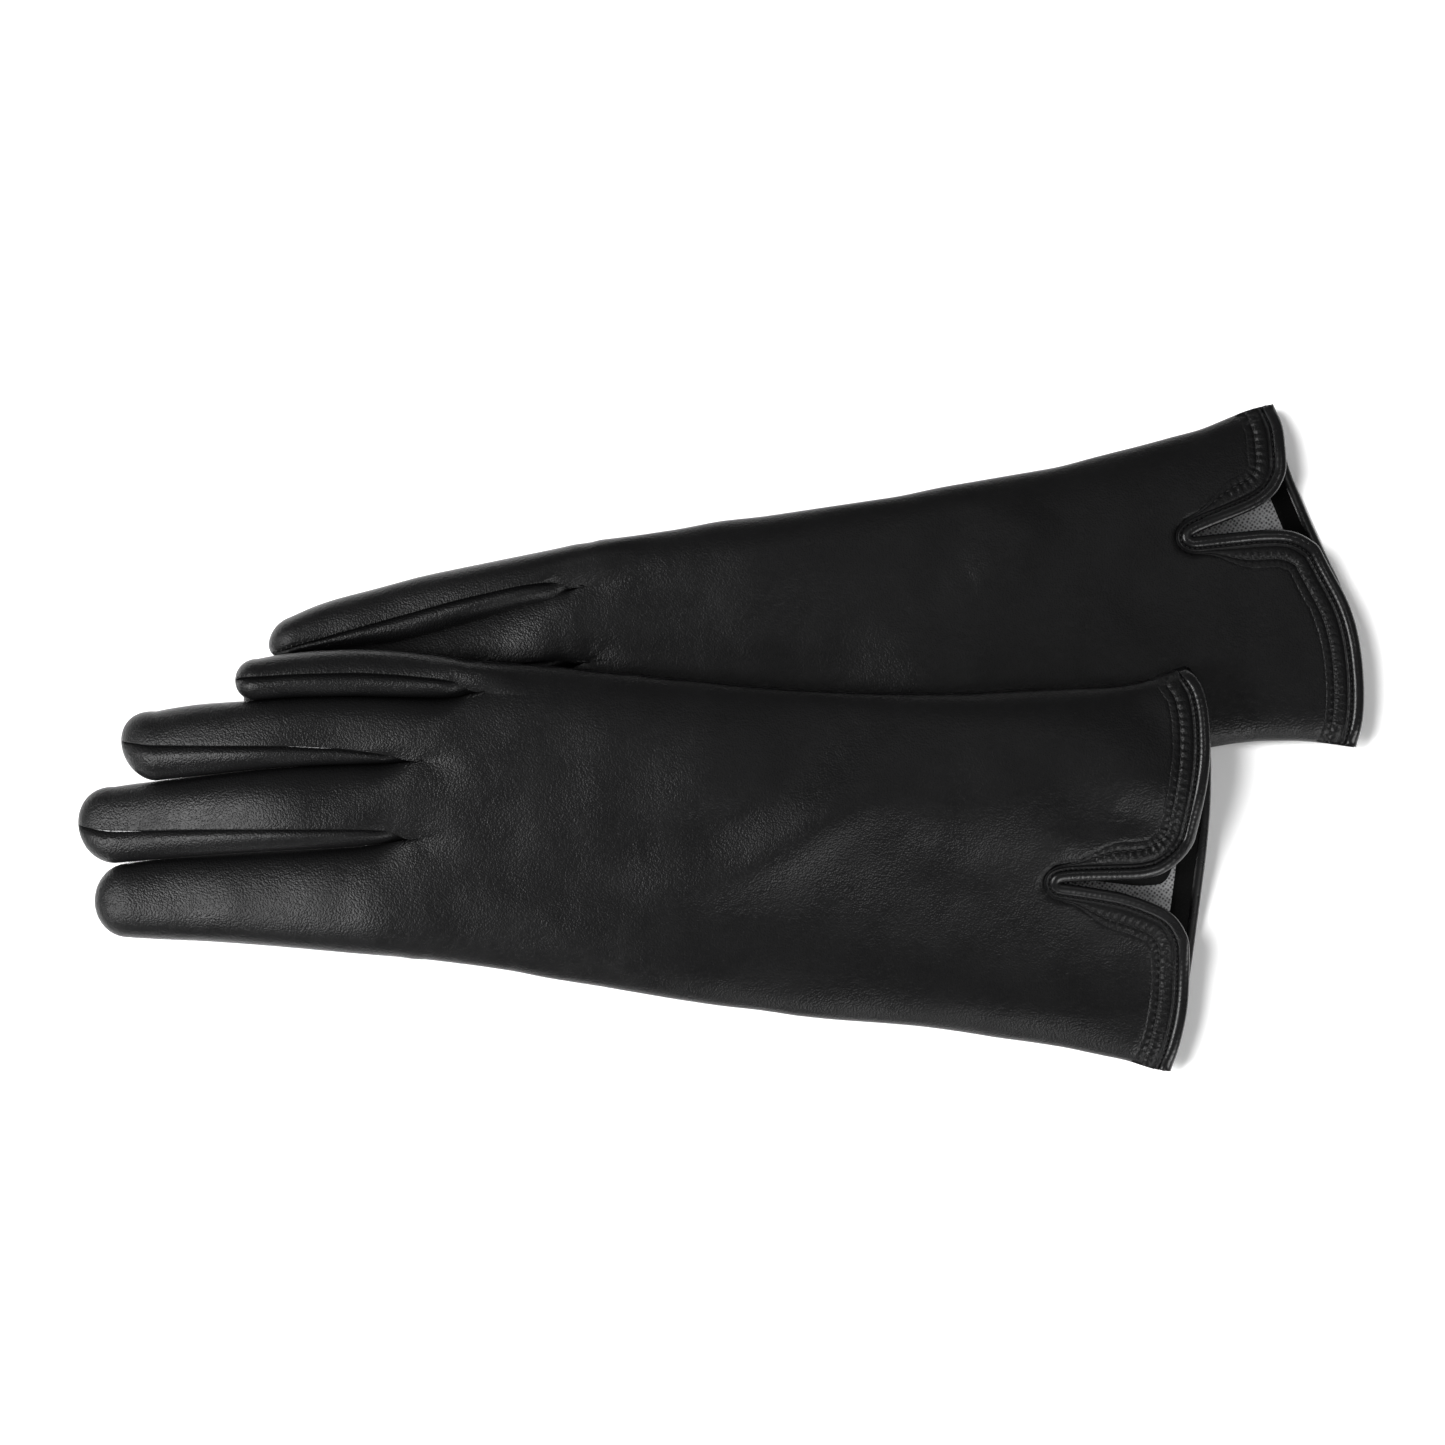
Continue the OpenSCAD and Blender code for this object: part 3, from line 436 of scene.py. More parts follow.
def build_glove(side):
    g = build_hand_map(GL[side])
    g["fade"] = 13.0
    d = np.array(g["d"]); e = np.array(g["e"])
    V = g["v"]
    frac = np.zeros(len(V))
    for i in range(4):
        c0, c1 = g["cols"][i], g["cols"][i + 1]
        frac[c0:c1 + 1] = cosine(c1 - c0)
    g["strip_frac"] = frac
    arch_row = np.zeros(len(V))
    for i in range(4):
        c0, c1 = g["cols"][i], g["cols"][i + 1]
        arch_row[c0:c1 + 1] = np.maximum(arch_row[c0:c1 + 1], root_arch(i, cosine(c1 - c0)))
    C1 = Line(g["cuff"], 3.0)
    U = np.linspace(0, 1, ROWS_HAND + 1) ** 1.12
    cv = g["col_v"]
    P2 = coons(g, C1, U, V, g["row0"])
    A = Line(g["va"], 1.2); B = Line(g["vb"], 1.2)
    apex = (A.at(0.0) + B.at(0.0)) / 2
    ra = int(np.argmin(np.hypot(*(P2[:, cv] - apex).T)))
    ua = U[ra]
    wA = np.where(V <= V[cv], (V / V[cv]) ** 2.2, ((1 - V) / (1 - V[cv])) ** 2.2)
    base = P2[:, cv].copy()
    pre = (apex - base[ra])[None, None, :] * sst(ua - 0.16, ua, U)[:, None, None] * wA[None, :, None]
    top = P2 + pre
    topA = top.copy(); topB = top.copy()
    t = np.clip((U - ua) / (1 - ua), 0, 1)
    rows = np.arange(len(U)) >= ra
    dA = A.at(t) - (base + pre[:, cv]); dB = B.at(t) - (base + pre[:, cv])
    dA[~rows] = 0; dB[~rows] = 0
    topA += dA[:, None, :] * wA[None, :, None]
    topB += dB[:, None, :] * wA[None, :, None]
    D = np.concatenate([np.zeros((1, len(V))), np.cumsum(np.hypot(*np.moveaxis(np.diff(P2, axis=0), -1, 0)), axis=0)], 0)

    def top_z(P):
        zu = under(g, P[..., 0], V[None, :])
        beta = sst(0, 1, (D / g["fade"]) ** 0.9)
        arch = (1 - beta) * arch_row[None, :] + beta * archH(V)[None, :]
        z = zu + HAND_H / 2 + HAND_H / 2 * arch + undul(side, P, arch) + crotch_wrinkles(g, P) * np.clip(arch * 2, 0, 1)
        return z

    zA, zB = top_z(topA), top_z(topB)
    lift = np.exp(-((V - V[cv]) / 0.06) ** 2)[None, :] * sst(ua, ua + 0.08, U)[:, None]
    zA = zA + 0.5 * lift; zB = zB + 0.2 * lift
    GA = np.concatenate([topA, zA[..., None]], -1)[:, :cv + 1]
    GB = np.concatenate([topB, zB[..., None]], -1)[:, cv:]
    # one line of points up to the vent's end, two beyond it
    GB[:ra + 1, 0] = GA[:ra + 1, -1]
    path = np.concatenate([GA[-1, :, :2], GA[ra:-1, -1, :2][::-1], GB[ra + 1:, 0, :2], GB[-1, 1:, :2]])
    keepless = [finish_grid("A", GA, flip=g["flip"]), finish_grid("B", GB, flip=g["flip"])]
    nA = len(keepless[0]["P"])
    full = {"name": side + "_back_panel", "P": np.concatenate([keepless[0]["P"], keepless[1]["P"]]), "F": np.concatenate([keepless[0]["F"], keepless[1]["F"] + nA])}
    # palm
    C1p = Line(g["palm"], 3.0)
    Pp = coons(g, C1p, U, V, g["row0"])
    zu = under(g, Pp[..., 0], V[None, :])
    Dp = D
    beta = sst(0, 1, (Dp / g["fade"]) ** 0.9)
    archp = (1 - beta) * archF(frac)[None, :] + beta * archH(V)[None, :]
    zp = zu + HAND_H / 2 - HAND_H / 2 * archp
    GP = np.concatenate([Pp, zp[..., None]], -1)
    palm = finish_grid(side + "_palm_panel", GP, flip=not g["flip"])
    parts = []
    fing = []
    for i, (fname, e0, es, e1, tip, rc, zz) in enumerate(g["fingers"]):
        K0 = np.array(g["knots"][i]); K1 = np.array(g["knots"][i + 1])
        y0f, y1f = edge_fn(g, e0), edge_fn(g, e1)
        ysf = edge_fn(g, es, 1.6) if es is not None else None
        ta, tb = np.array(tip) @ d, np.array(tip) @ e
        ac = ta - rc
        c0, c1 = g["cols"][i], g["cols"][i + 1]
        fj = cosine(c1 - c0)
        aj = g["row0"][c0:c1 + 1] @ d; bj = g["row0"][c0:c1 + 1] @ e
        zuj = under(g, g["row0"][c0:c1 + 1][:, 0], V[c0:c1 + 1])
        aroot = (K0 @ d + K1 @ d) / 2
        phi = np.linspace(0, math.pi / 2, ROWS_CAP + 1)[1:]

        def rows_for(a0):
            main = a0 + (ac - a0) * np.linspace(0, 1, ROWS_FINGER + 1)
            return np.r_[main, ac + rc * np.sin(phi)]

        def geo(a):
            """edges and cap factor at a."""
            am = np.minimum(a, ac)
            y0, y1 = y0f(am), y1f(am)
            if (side, fname) == ("left", "middle"):      # tucks under the forefinger's side
                y1 = y1 + 3.6 * sst(0, 9, am - K1 @ d)
            tau = np.clip((a - ac) / rc, 0, 1)
            cap = np.sqrt(np.clip(1 - tau ** 2.2, 0, 1))
            c = (y0 + y1) / 2; w = (y1 - y0) / 2
            c = c + (tb - c) * tau ** 1.5
            fs = (ysf(am) - y0) / (y1 - y0) if ysf is not None else None
            return c - w * cap, c + w * cap, cap, tau, fs

        def grid(cols_f, kind):
            """cols_f: list of (a_j, b_j, zu_j, f_row0, function of fraction). kind 1 back, 2 fourchette on top, -1 underside."""
            out = np.zeros((ROWS_FINGER + 1 + ROWS_CAP, len(cols_f), 3))
            for j, (a0, b0, z0, f0, fn, ar0) in enumerate(cols_f):
                a = rows_for(a0)
                y0, y1, cap, tau, fs = geo(a)
                wb = sst(0, 15, a - a0)
                wl = sst(0, 7, a - a0)
                gf = fn(a, fs, wb)
                y = lerp(b0, y0 + (y1 - y0) * gf, wl)
                gg = lerp(f0, gf, wb)
                s = (a - aroot) / (ta - aroot)
                zu_ = lerp(z0, zz["root"] + (zz["tip"] - zz["root"]) * sst(zz["s0"], zz["s1"], s), sst(0, 20, a - a0))
                h0 = lerp(HAND_H, zz["h"], sst(0, 20, a - a0))
                h = h0 * np.clip(cap, 0, 1) ** 0.8
                zmid = zu_ + h0 / 2 * (1 - 0.12 * tau)
                ar = archF(gg, 2.3)
                if ar0 is not None:
                    wa = sst(0, 11, a - a0)
                    ar = lerp(ar0, archF(gf, 2.3), wa)
                xy = a[:, None] * d[None] + y[:, None] * e[None]
                if kind > 0:
                    z = zmid + h / 2 * ar
                    un = undul(side, xy, ar * np.clip(cap, 0, 1))
                    cw = crotch_wrinkles(g, xy) * np.clip(ar * 2, 0, 1)
                    z = z + un + cw
                    if fs is not None:
                        on = sst(1.0, 9, a - (K1 if g["seam_side"] else K0) @ d) * (1 - sst(0.75, 1.0, tau))
                        dist = np.abs(gf - fs) * np.abs(y1 - y0)
                        if kind == 1:
                            z = z + on * 0.12 * np.exp(-(dist / 1.9) ** 2)
                        else:
                            z = z - on * (1.15 * np.exp(-(dist / 0.9) ** 2) + 0.45 * np.exp(-dist / 3.0))
                else:
                    z = zmid - h / 2 * archF(gg, 2.6)
                out[:, j, 0] = xy[:, 0]; out[:, j, 1] = xy[:, 1]; out[:, j, 2] = z
            return out

        ss = g["seam_side"]
        has = ysf is not None
        cols = []
        for j in range(len(fj)):
            if has and ss == 1:
                fn = (lambda a, fs, wb, f=fj[j]: f * fs)
            elif has:
                fn = (lambda a, fs, wb, f=fj[j]: fs + (1 - fs) * f)
            else:
                fn = (lambda a, fs, wb, f=fj[j]: f + 0 * a)
            cols.append((aj[j], bj[j], zuj[j], fj[j], fn, float(root_arch(i, fj[j]))))
        Gb = grid(cols, 1)
        parts.append(finish_grid("%s_%s_back" % (side, fname), Gb, flip=not g["flip"]))
        seam = None
        if has:
            s_edge = Gb[:, -1] if ss == 1 else Gb[:, 0]
            nb = Gb[:, -2] if ss == 1 else Gb[:, 1]
            out_dir = s_edge[:, :2] - nb[:, :2]
            out_dir /= np.maximum(np.linalg.norm(out_dir, axis=1, keepdims=True), 1e-9)
            K = K1 if ss == 1 else K0
            onr = sst(0.5, 6, s_edge[:, :2] @ d - K @ d)
            capf = np.r_[np.ones(ROWS_FINGER + 1), np.cos(phi)]
            curl = np.stack([
                s_edge,
                s_edge + np.c_[out_dir * 0.16, -0.03 * np.ones(len(s_edge))] * (onr * capf)[:, None],
                s_edge + np.c_[out_dir * 0.30, -0.12 * np.ones(len(s_edge))] * (onr * capf)[:, None],
                s_edge + np.c_[out_dir * 0.36, -0.32 * np.ones(len(s_edge))] * (onr * capf)[:, None],
                s_edge + np.c_[out_dir * 0.26, -0.65 * np.ones(len(s_edge))] * (onr * capf)[:, None],
                s_edge + np.c_[out_dir * -0.1, -1.15 * np.ones(len(s_edge))] * (onr * capf)[:, None]], 1)
            if ss == 0:
                curl = curl[:, ::-1]
            cp = finish_grid("curl", curl, flip=not g["flip"])
            bp = parts[-1]
            n0 = len(bp["P"])
            bp["P"] = np.concatenate([bp["P"], cp["P"]]); bp["F"] = np.concatenate([bp["F"], cp["F"] + n0])
            seam = (s_edge.copy(), out_dir.copy(), onr * capf)
        fo = []
        if has:
            K = K1 if ss == 1 else K0
            kz = under(g, K[0], V[c1 if ss == 1 else c0])
            sk = np.sin(np.linspace(0, math.pi / 2, KF + 1))
            cols = []
            for s_ in sk:
                if ss == 1:
                    fn = (lambda a, fs, wb, s=s_: fs + (1 - fs) * s)
                    cols.append((K @ d, K @ e, kz, 1.0, fn, FORK * (1 - s_)))
                else:
                    fn = (lambda a, fs, wb, s=s_: fs * (1 - s))
                    cols.append((K @ d, K @ e, kz, 0.0, fn, FORK * (1 - s_)))
            if ss == 0:
                cols = cols[::-1]
            fo.append(finish_grid("f", grid(cols, 2), flip=not g["flip"]))
        # underside
        w0 = 0.15 if i > 0 else 0.0
        w1 = 0.15 if i < 3 else 0.0
        cols = []
        for j in range(len(fj)):
            fn = (lambda a, fs, wb, f=fj[j]: w0 * wb + (1 - (w0 + w1) * wb) * f)
            cols.append((aj[j], bj[j], zuj[j], fj[j], fn, None))
        parts.append(finish_grid("%s_%s_palm" % (side, fname), grid(cols, -1), flip=g["flip"]))
        for inner, K, w, v in ((i > 0, K0, w0, 0), (i < 3, K1, w1, 1)):
            if not inner:
                continue
            kz = under(g, K[0], V[c1 if v else c0])
            cols = []
            for q in np.linspace(0, 1, KU + 1):
                if v:
                    fn = (lambda a, fs, wb, q=q: 1 - w1 * wb * (1 - q))
                else:
                    fn = (lambda a, fs, wb, q=q: w0 * wb * q)
                cols.append((K @ d, K @ e, kz, float(v), fn, None))
            fo.append(finish_grid("u", grid(cols, -1), flip=g["flip"]))
        n0 = 0
        P_, F_ = [], []
        for q in fo:
            P_.append(q["P"]); F_.append(q["F"] + n0); n0 += len(q["P"])
        nm = "%s_%s_fourchette%s" % (side, fname, "s" if fname in ("middle", "ring") else "")
        parts.append({"name": nm, "P": np.concatenate(P_), "F": np.concatenate(F_)})
        # lining of the finger: a tube inside the leather
        na, ncol = 26, 20
        tube = np.zeros((na + 1, ncol + 1, 3))
        a_start = max(K0 @ d, K1 @ d) + 14.0
        for r, s in enumerate(np.linspace(0, 1, na + 1)):
            a = a_start + (ta - 1.6 - a_start) * math.sin(s * math.pi / 2)
            y0, y1, cap, tau, fs = geo(np.array([a]))
            sh = (a - aroot) / (ta - aroot)
            zu_ = zz["root"] + (zz["tip"] - zz["root"]) * float(sst(zz["s0"], zz["s1"], sh))
            w = max(abs(float(y1[0] - y0[0])) / 2 - 1.6, 0.05); h = max(zz["h"] * float(cap[0]) ** 0.8 / 2 - 1.6, 0.05)
            if s == 1:
                w = h = 0.05
            th = np.linspace(0, 2 * math.pi, ncol + 1)
            yy = (y0[0] + y1[0]) / 2 + w * np.cos(th)
            tube[r, :, 0] = a * d[0] + yy * e[0]; tube[r, :, 1] = a * d[1] + yy * e[1]
            tube[r, :, 2] = zu_ + zz["h"] / 2 * (1 - 0.12 * tau[0]) + h * np.sin(th)
        fing.append(dict(name=fname, seam=seam, root=aroot, start=max(K0 @ d, K1 @ d), tip=ta, tube=tube))
    return dict(g=g, full=full, palm=palm, parts=parts, fingers=fing, path=path, GA=GA, GB=GB, GP=GP, ra=ra, C1p=C1p, U=U, V=V, cv=cv)


# ---------------------------------------------------------------- materials
def nodes_of(name):
    m = bpy.data.materials.new(name)
    m.use_nodes = True
    nt = m.node_tree
    return m, nt, nt.nodes["Principled BSDF"]


def leather(name, base, rough, grain=0.22, spec=0.5, seed=0.0):
    m, nt, b = nodes_of(name)
    N, L = nt.nodes, nt.links
    b.inputs["Base Color"].default_value = (*base, 1)
    b.inputs["Specular IOR Level"].default_value = spec
    b.inputs["Roughness"].default_value = rough
    tc = N.new("ShaderNodeTexCoord")
    # the pebbles are domes of about half a millimetre, pushed about by a slow noise so that no rows show
    wn_ = N.new("ShaderNodeTexNoise"); wn_.inputs["Scale"].default_value = 420.0; wn_.inputs["Detail"].default_value = 2.0
    L.new(tc.outputs["Object"], wn_.inputs["Vector"])
    sc = N.new("ShaderNodeVectorMath"); sc.operation = "SCALE"; sc.inputs["Scale"].default_value = 0.0011
    L.new(wn_.outputs["Color"], sc.inputs[0])
    ad = N.new("ShaderNodeVectorMath"); ad.operation = "ADD"
    L.new(tc.outputs["Object"], ad.inputs[0]); L.new(sc.outputs["Vector"], ad.inputs[1])
    vo = N.new("ShaderNodeTexVoronoi"); vo.feature = "SMOOTH_F1"; vo.inputs["Scale"].default_value = 2200.0; vo.inputs["Smoothness"].default_value = 0.55
    no = N.new("ShaderNodeTexNoise"); no.inputs["Scale"].default_value = 2600.0; no.inputs["Detail"].default_value = 3.0
    nb = N.new("ShaderNodeTexNoise"); nb.inputs["Scale"].default_value = 95.0; nb.inputs["Detail"].default_value = 3.0
    L.new(ad.outputs["Vector"], vo.inputs["Vector"])
    for n in (no, nb):
        L.new(tc.outputs["Object"], n.inputs["Vector"])
    mr = N.new("ShaderNodeMapRange"); mr.inputs["From Min"].default_value = 0.0; mr.inputs["From Max"].default_value = 0.8
    mr.inputs["To Min"].default_value = 1.0; mr.inputs["To Max"].default_value = 0.0
    L.new(vo.outputs["Distance"], mr.inputs["Value"])
    b1 = N.new("ShaderNodeBump"); b1.inputs["Strength"].default_value = grain; b1.inputs["Distance"].default_value = 0.00016
    L.new(mr.outputs["Result"], b1.inputs["Height"])
    b2 = N.new("ShaderNodeBump"); b2.inputs["Strength"].default_value = grain * 0.5; b2.inputs["Distance"].default_value = 0.00006
    L.new(no.outputs["Fac"], b2.inputs["Height"]); L.new(b1.outputs["Normal"], b2.inputs["Normal"])
    b3 = N.new("ShaderNodeBump"); b3.inputs["Strength"].default_value = 0.10; b3.inputs["Distance"].default_value = 0.0008
    L.new(nb.outputs["Fac"], b3.inputs["Height"]); L.new(b2.outputs["Normal"], b3.inputs["Normal"])
    L.new(b3.outputs["Normal"], b.inputs["Normal"])
    rr = N.new("ShaderNodeMapRange"); rr.inputs["From Min"].default_value = 0.3; rr.inputs["From Max"].default_value = 0.7
    rr.inputs["To Min"].default_value = rough - 0.05; rr.inputs["To Max"].default_value = rough + 0.06
    L.new(nb.outputs["Fac"], rr.inputs["Value"]); L.new(rr.outputs["Result"], b.inputs["Roughness"])
    return m


M_LEATHER = leather("glove_leather", (0.006, 0.006, 0.0064), 0.37, grain=0.50, spec=0.32)
M_BIND = leather("binding_leather", (0.0055, 0.0055, 0.006), 0.27, grain=0.12, spec=0.5)
# the facing is the same leather as the glove, but given a darker, duller colour here: painted shade for the shadowed
# inside of the vent and cuff edge
M_FACE_PAINTED_SHADE = leather("facing_leather", (0.0035, 0.0035, 0.0035), 0.6, grain=0.3, spec=0.08)


def knit():
    m, nt, b = nodes_of("lining_knit")
    N, L = nt.nodes, nt.links
    tc = N.new("ShaderNodeTexCoord")
    mp = N.new("ShaderNodeMapping"); mp.inputs["Scale"].default_value = (1.0, 1.0, 0.0); mp.inputs["Rotation"].default_value = (0.0, 0.0, 0.6)
    L.new(tc.outputs["Object"], mp.inputs["Vector"])
    vo = N.new("ShaderNodeTexVoronoi"); vo.feature = "F1"; vo.inputs["Scale"].default_value = 1180.0; vo.inputs["Randomness"].default_value = 0.3
    L.new(mp.outputs["Vector"], vo.inputs["Vector"])
    cr = N.new("ShaderNodeValToRGB")
    cr.color_ramp.elements[0].position = 0.16; cr.color_ramp.elements[0].color = (0.11, 0.11, 0.115, 1)
    cr.color_ramp.elements[1].position = 0.50; cr.color_ramp.elements[1].color = (0.70, 0.70, 0.71, 1)
    L.new(vo.outputs["Distance"], cr.inputs["Fac"]); L.new(cr.outputs["Color"], b.inputs["Base Color"])
    bp = N.new("ShaderNodeBump"); bp.inputs["Strength"].default_value = 0.7; bp.inputs["Distance"].default_value = 0.0003
    L.new(vo.outputs["Distance"], bp.inputs["Height"]); L.new(bp.outputs["Normal"], b.inputs["Normal"])
    b.inputs["Roughness"].default_value = 0.9
    b.inputs["Specular IOR Level"].default_value = 0.2
    return m


M_KNIT = knit()
M_THREAD, _nt, _b = nodes_of("thread")
_b.inputs["Base Color"].default_value = (0.012, 0.012, 0.012, 1)
_b.inputs["Roughness"].default_value = 0.45

# ---------------------------------------------------------------- gloves
PROFILE = []                                             # (distance from the edge, height over the leather)
for k in range(15):
    th_ = math.radians(-70 + 250 * k / 14)
    PROFILE.append((1.45 - 1.45 * math.cos(th_), 0.15 + 1.0 * math.sin(th_), 0))
PROFILE += [(3.05, 0.02, 1), (3.2, 0.22, 1), (3.45, 0.34, 1), (3.7, 0.24, 1), (3.9, -0.05, 1), (4.05, -0.18, 2), (4.3, 0.0, 2), (4.7, 0.2, 2), (5.2, 0.32, 2),
            (5.8, 0.34, 2), (6.4, 0.26, 2), (6.9, 0.08, 2), (7.2, -0.24, 2), (7.45, -0.3, 3), (7.8, -0.02, 3), (8.3, 0.04, 3), (8.8, 0.02, 3), (9.3, 0.0, 3), (9.9, -0.35, 3)]


def tangent_frame(q):
    t = np.gradient(q, axis=0)
    t /= np.maximum(np.linalg.norm(t, axis=1, keepdims=True), 1e-9)
    return t


def build_band(G, side):
    """The rolled binding, its bead and the stitched hem, swept along the cuff's edge and round the vent."""
    q, s = dense(G["path"], 0.3, 0.75)
    # run on past both ends of the cuff, so the hem wraps round the side edges
    q = q[10:-10]
    k = 6
    for end in (0, -1):
        t0 = q[0] - q[k] if end == 0 else q[-1] - q[-1 - k]
        t0 /= np.linalg.norm(t0)
        more = np.arange(1, 28)[:, None] * 0.3 * t0[None, :]
        q = np.concatenate([(q[0] + more)[::-1], q]) if end == 0 else np.concatenate([q, q[-1] + more])
    t = tangent_frame(q)
    ang = np.unwrap(np.arctan2(t[:, 1], t[:, 0]))
    kk = np.exp(-0.5 * (np.arange(-5, 6) / 1.6) ** 2); kk /= kk.sum()
    ang = np.convolve(np.r_[[ang[0]] * 5, ang, [ang[-1]] * 5], kk, "valid")
    ds = np.hypot(*np.diff(q, axis=0).T)
    m = np.r_[0, np.cumsum(np.maximum(ds / 0.35, np.abs(np.diff(ang)) / math.radians(6)))]
    mq = np.linspace(0, m[-1], int(m[-1]) + 1)
    q = np.c_[np.interp(mq, m, q[:, 0]), np.interp(mq, m, q[:, 1])]
    ang = np.interp(mq, m, ang)
    n = np.c_[-np.sin(ang), np.cos(ang)]
    s = np.r_[0, np.cumsum(np.hypot(*np.diff(q, axis=0).T))]
    mid = len(q) // 8
    P0 = np.concatenate([G["GA"].reshape(-1, 3), G["GB"].reshape(-1, 3)])
    d_in, _ = dist_to((q + n * 4)[mid:mid + 1], P0[:, :2])
    d_out, _ = dist_to((q - n * 4)[mid:mid + 1], P0[:, :2])
    if d_in[0] > d_out[0]:
        n = -n
    # arc length at the stitch line, so the pitch stays even round the vent's end
    apex = (G["GA"][G["ra"], -1, :2])
    i_ap = int(np.argmin(np.hypot(*(q - apex).T)))
    s0_ = np.r_[0, np.cumsum(np.hypot(*np.diff(q, axis=0).T))]
    near = sst(2.0, 15.0, np.abs(s0_ - s0_[i_ap]))
    squeeze = 0.10 + 0.90 * near
    G["squeeze"] = squeeze
    sm = q + n * 6.0
    s = np.r_[0, np.cumsum(np.hypot(*np.diff(sm, axis=0).T))]
    full = G["full"]
    tree = BVHTree.FromPolygons((full["P"]).tolist(), full["F"].tolist())
    r = np.random.default_rng(5)
    amp = 0.6 + 0.7 * r.random(len(q)); amp = np.convolve(amp, np.ones(9) / 9, "same")
    pitch = 2.0
    ph = np.cumsum(np.r_[0, np.diff(s)] * (2 * math.pi / pitch) * (1 + 0.12 * np.convolve(r.normal(size=len(q)), np.ones(15) / 15, "same")))
    pucker = np.cos(ph)
    fine = np.cos(2 * math.pi * s / 1.3)
    rows = np.zeros((len(q), len(PROFILE), 3))

    def zat(x, y):
        hit = tree.ray_cast(Vector((x, y, 60)), Vector((0, 0, -1)))
        if hit[0] is not None:
            return (x, y, hit[0].z, 1.0)
        near = tree.find_nearest(Vector((x, y, 12)))[0]
        return (near.x, near.y, near.z, 0.0)

    dd_ = [p[0] for p in PROFILE]
    for j, (dd, hh, zone) in enumerate(PROFILE):
        dv_ = np.full(len(q), dd) if dd <= 3.9 else 3.9 + (dd - 3.9) * squeeze
        xy = q + n * np.maximum(dv_, 0.45)[:, None]
        base = np.array([zat(x, y) for x, y in xy])
        inside = base[:, 3]
        zb = base[:, 2].copy()
        kr = np.exp(-0.5 * (np.arange(-6, 7) / (2.4 if dd < 8 else 1.0)) ** 2); kr /= kr.sum()
        zs = np.convolve(np.r_[[zb[0]] * 6, zb, [zb[-1]] * 6], kr, "valid")
        zb = np.where(inside > 0.5, zs, zb)
        h = hh * np.ones(len(q))
        if dd > 3.95:
            h = h * (0.25 + 0.75 * near)
        if zone == 2:
            h = h + 0.18 * amp * pucker * near * math.exp(-((dd - 6.5) / 0.9) ** 2)
        if zone == 3 and dd < 8.4:
            h = h + 0.08 * amp * pucker * near
        if zone == 1:
            h = h + 0.05 * fine
        if zone == 0 and hh > 0.5:
            h = h + 0.02 * fine
        pxy = q + n * dv_[:, None]
        w = min(0.5 + 0.55 * dd, 4.0)
        r_ = 12
        kx = np.exp(-0.5 * (np.arange(-r_, r_ + 1) / w) ** 2); kx /= kx.sum()
        px = np.convolve(np.r_[[pxy[0, 0]] * r_, pxy[:, 0], [pxy[-1, 0]] * r_], kx, "valid")
        py = np.convolve(np.r_[[pxy[0, 1]] * r_, pxy[:, 1], [pxy[-1, 1]] * r_], kx, "valid")
        pxy = np.c_[px, py]
        # outside the glove's outline the hem lies against the side edge
        out_ = inside < 0.5
        dv = xy - base[:, :2]
        ln = np.maximum(np.linalg.norm(dv, axis=1, keepdims=True), 1e-6)
        fall = np.clip(ln[:, 0], 0, 3.0)
        rows[:, j, 0] = np.where(out_, base[:, 0] + (pxy[:, 0] - xy[:, 0]) + dv[:, 0] / ln[:, 0] * (0.25 + 0.3 * np.clip(h, 0, 1)), pxy[:, 0])
        rows[:, j, 1] = np.where(out_, base[:, 1] + (pxy[:, 1] - xy[:, 1]) + dv[:, 1] / ln[:, 0] * (0.25 + 0.3 * np.clip(h, 0, 1)), pxy[:, 1])
        rows[:, j, 2] = np.where(out_, zb - 0.4 * fall, zb + h)
    dq = np.array([0.6, 1.5, 3, 4.5, 6, 7.5, 9, 10.2])
    Z = np.array([[zat(*(q[i] + n[i] * x))[2] for x in dq] for i in range(len(q))])
    bind = finish_grid(side + "_cuff_binding", rows[:, :16], flip=False)
    hem = finish_grid("hem", rows[:, 15:], flip=False)
    return q, s, n, rows, bind, hem, Z, dq


def orient_up(part):
    """Makes most faces look up."""
    a, b, c = (part["P"][part["F"][:, k]] for k in (0, 1, 2))
    if np.cross(b - a, c - a)[:, 2].sum() < 0:
        part["F"] = part["F"][:, ::-1].copy()
    return part


def join(name, *ps):
    P_, F_, n0 = [], [], 0
    for q in ps:
        P_.append(q["P"]); F_.append(q["F"] + n0); n0 += len(q["P"])
    return {"name": name, "P": np.concatenate(P_), "F": np.concatenate(F_)}


def capsule_rows(items, rad, name):
    """Stitches: short round-ended bars. items: (centre, direction, up, length)."""
    P, F = [], []
    for c, t, up, ln in items:
        s = np.cross(t, up)
        base = len(P)
        prof = [(-0.5, 0.0), (-0.46, 0.6), (-0.3, 1.0), (0.0, 1.12), (0.3, 1.0), (0.46, 0.6), (0.5, 0.0)]
        for a, w in prof:
            for k in range(6):
                th_ = 2 * math.pi * k / 6
                P.append(c + t * a * ln + (s * math.cos(th_) + up * math.sin(th_)) * rad * max(w, 0.02))
        for i in range(6):
            for k in range(6):
                k2 = (k + 1) % 6
                F.append((base + i * 6 + k, base + i * 6 + k2, base + (i + 1) * 6 + k2, base + (i + 1) * 6 + k))
    return {"name": name, "P": np.array(P), "F": np.array(F)}


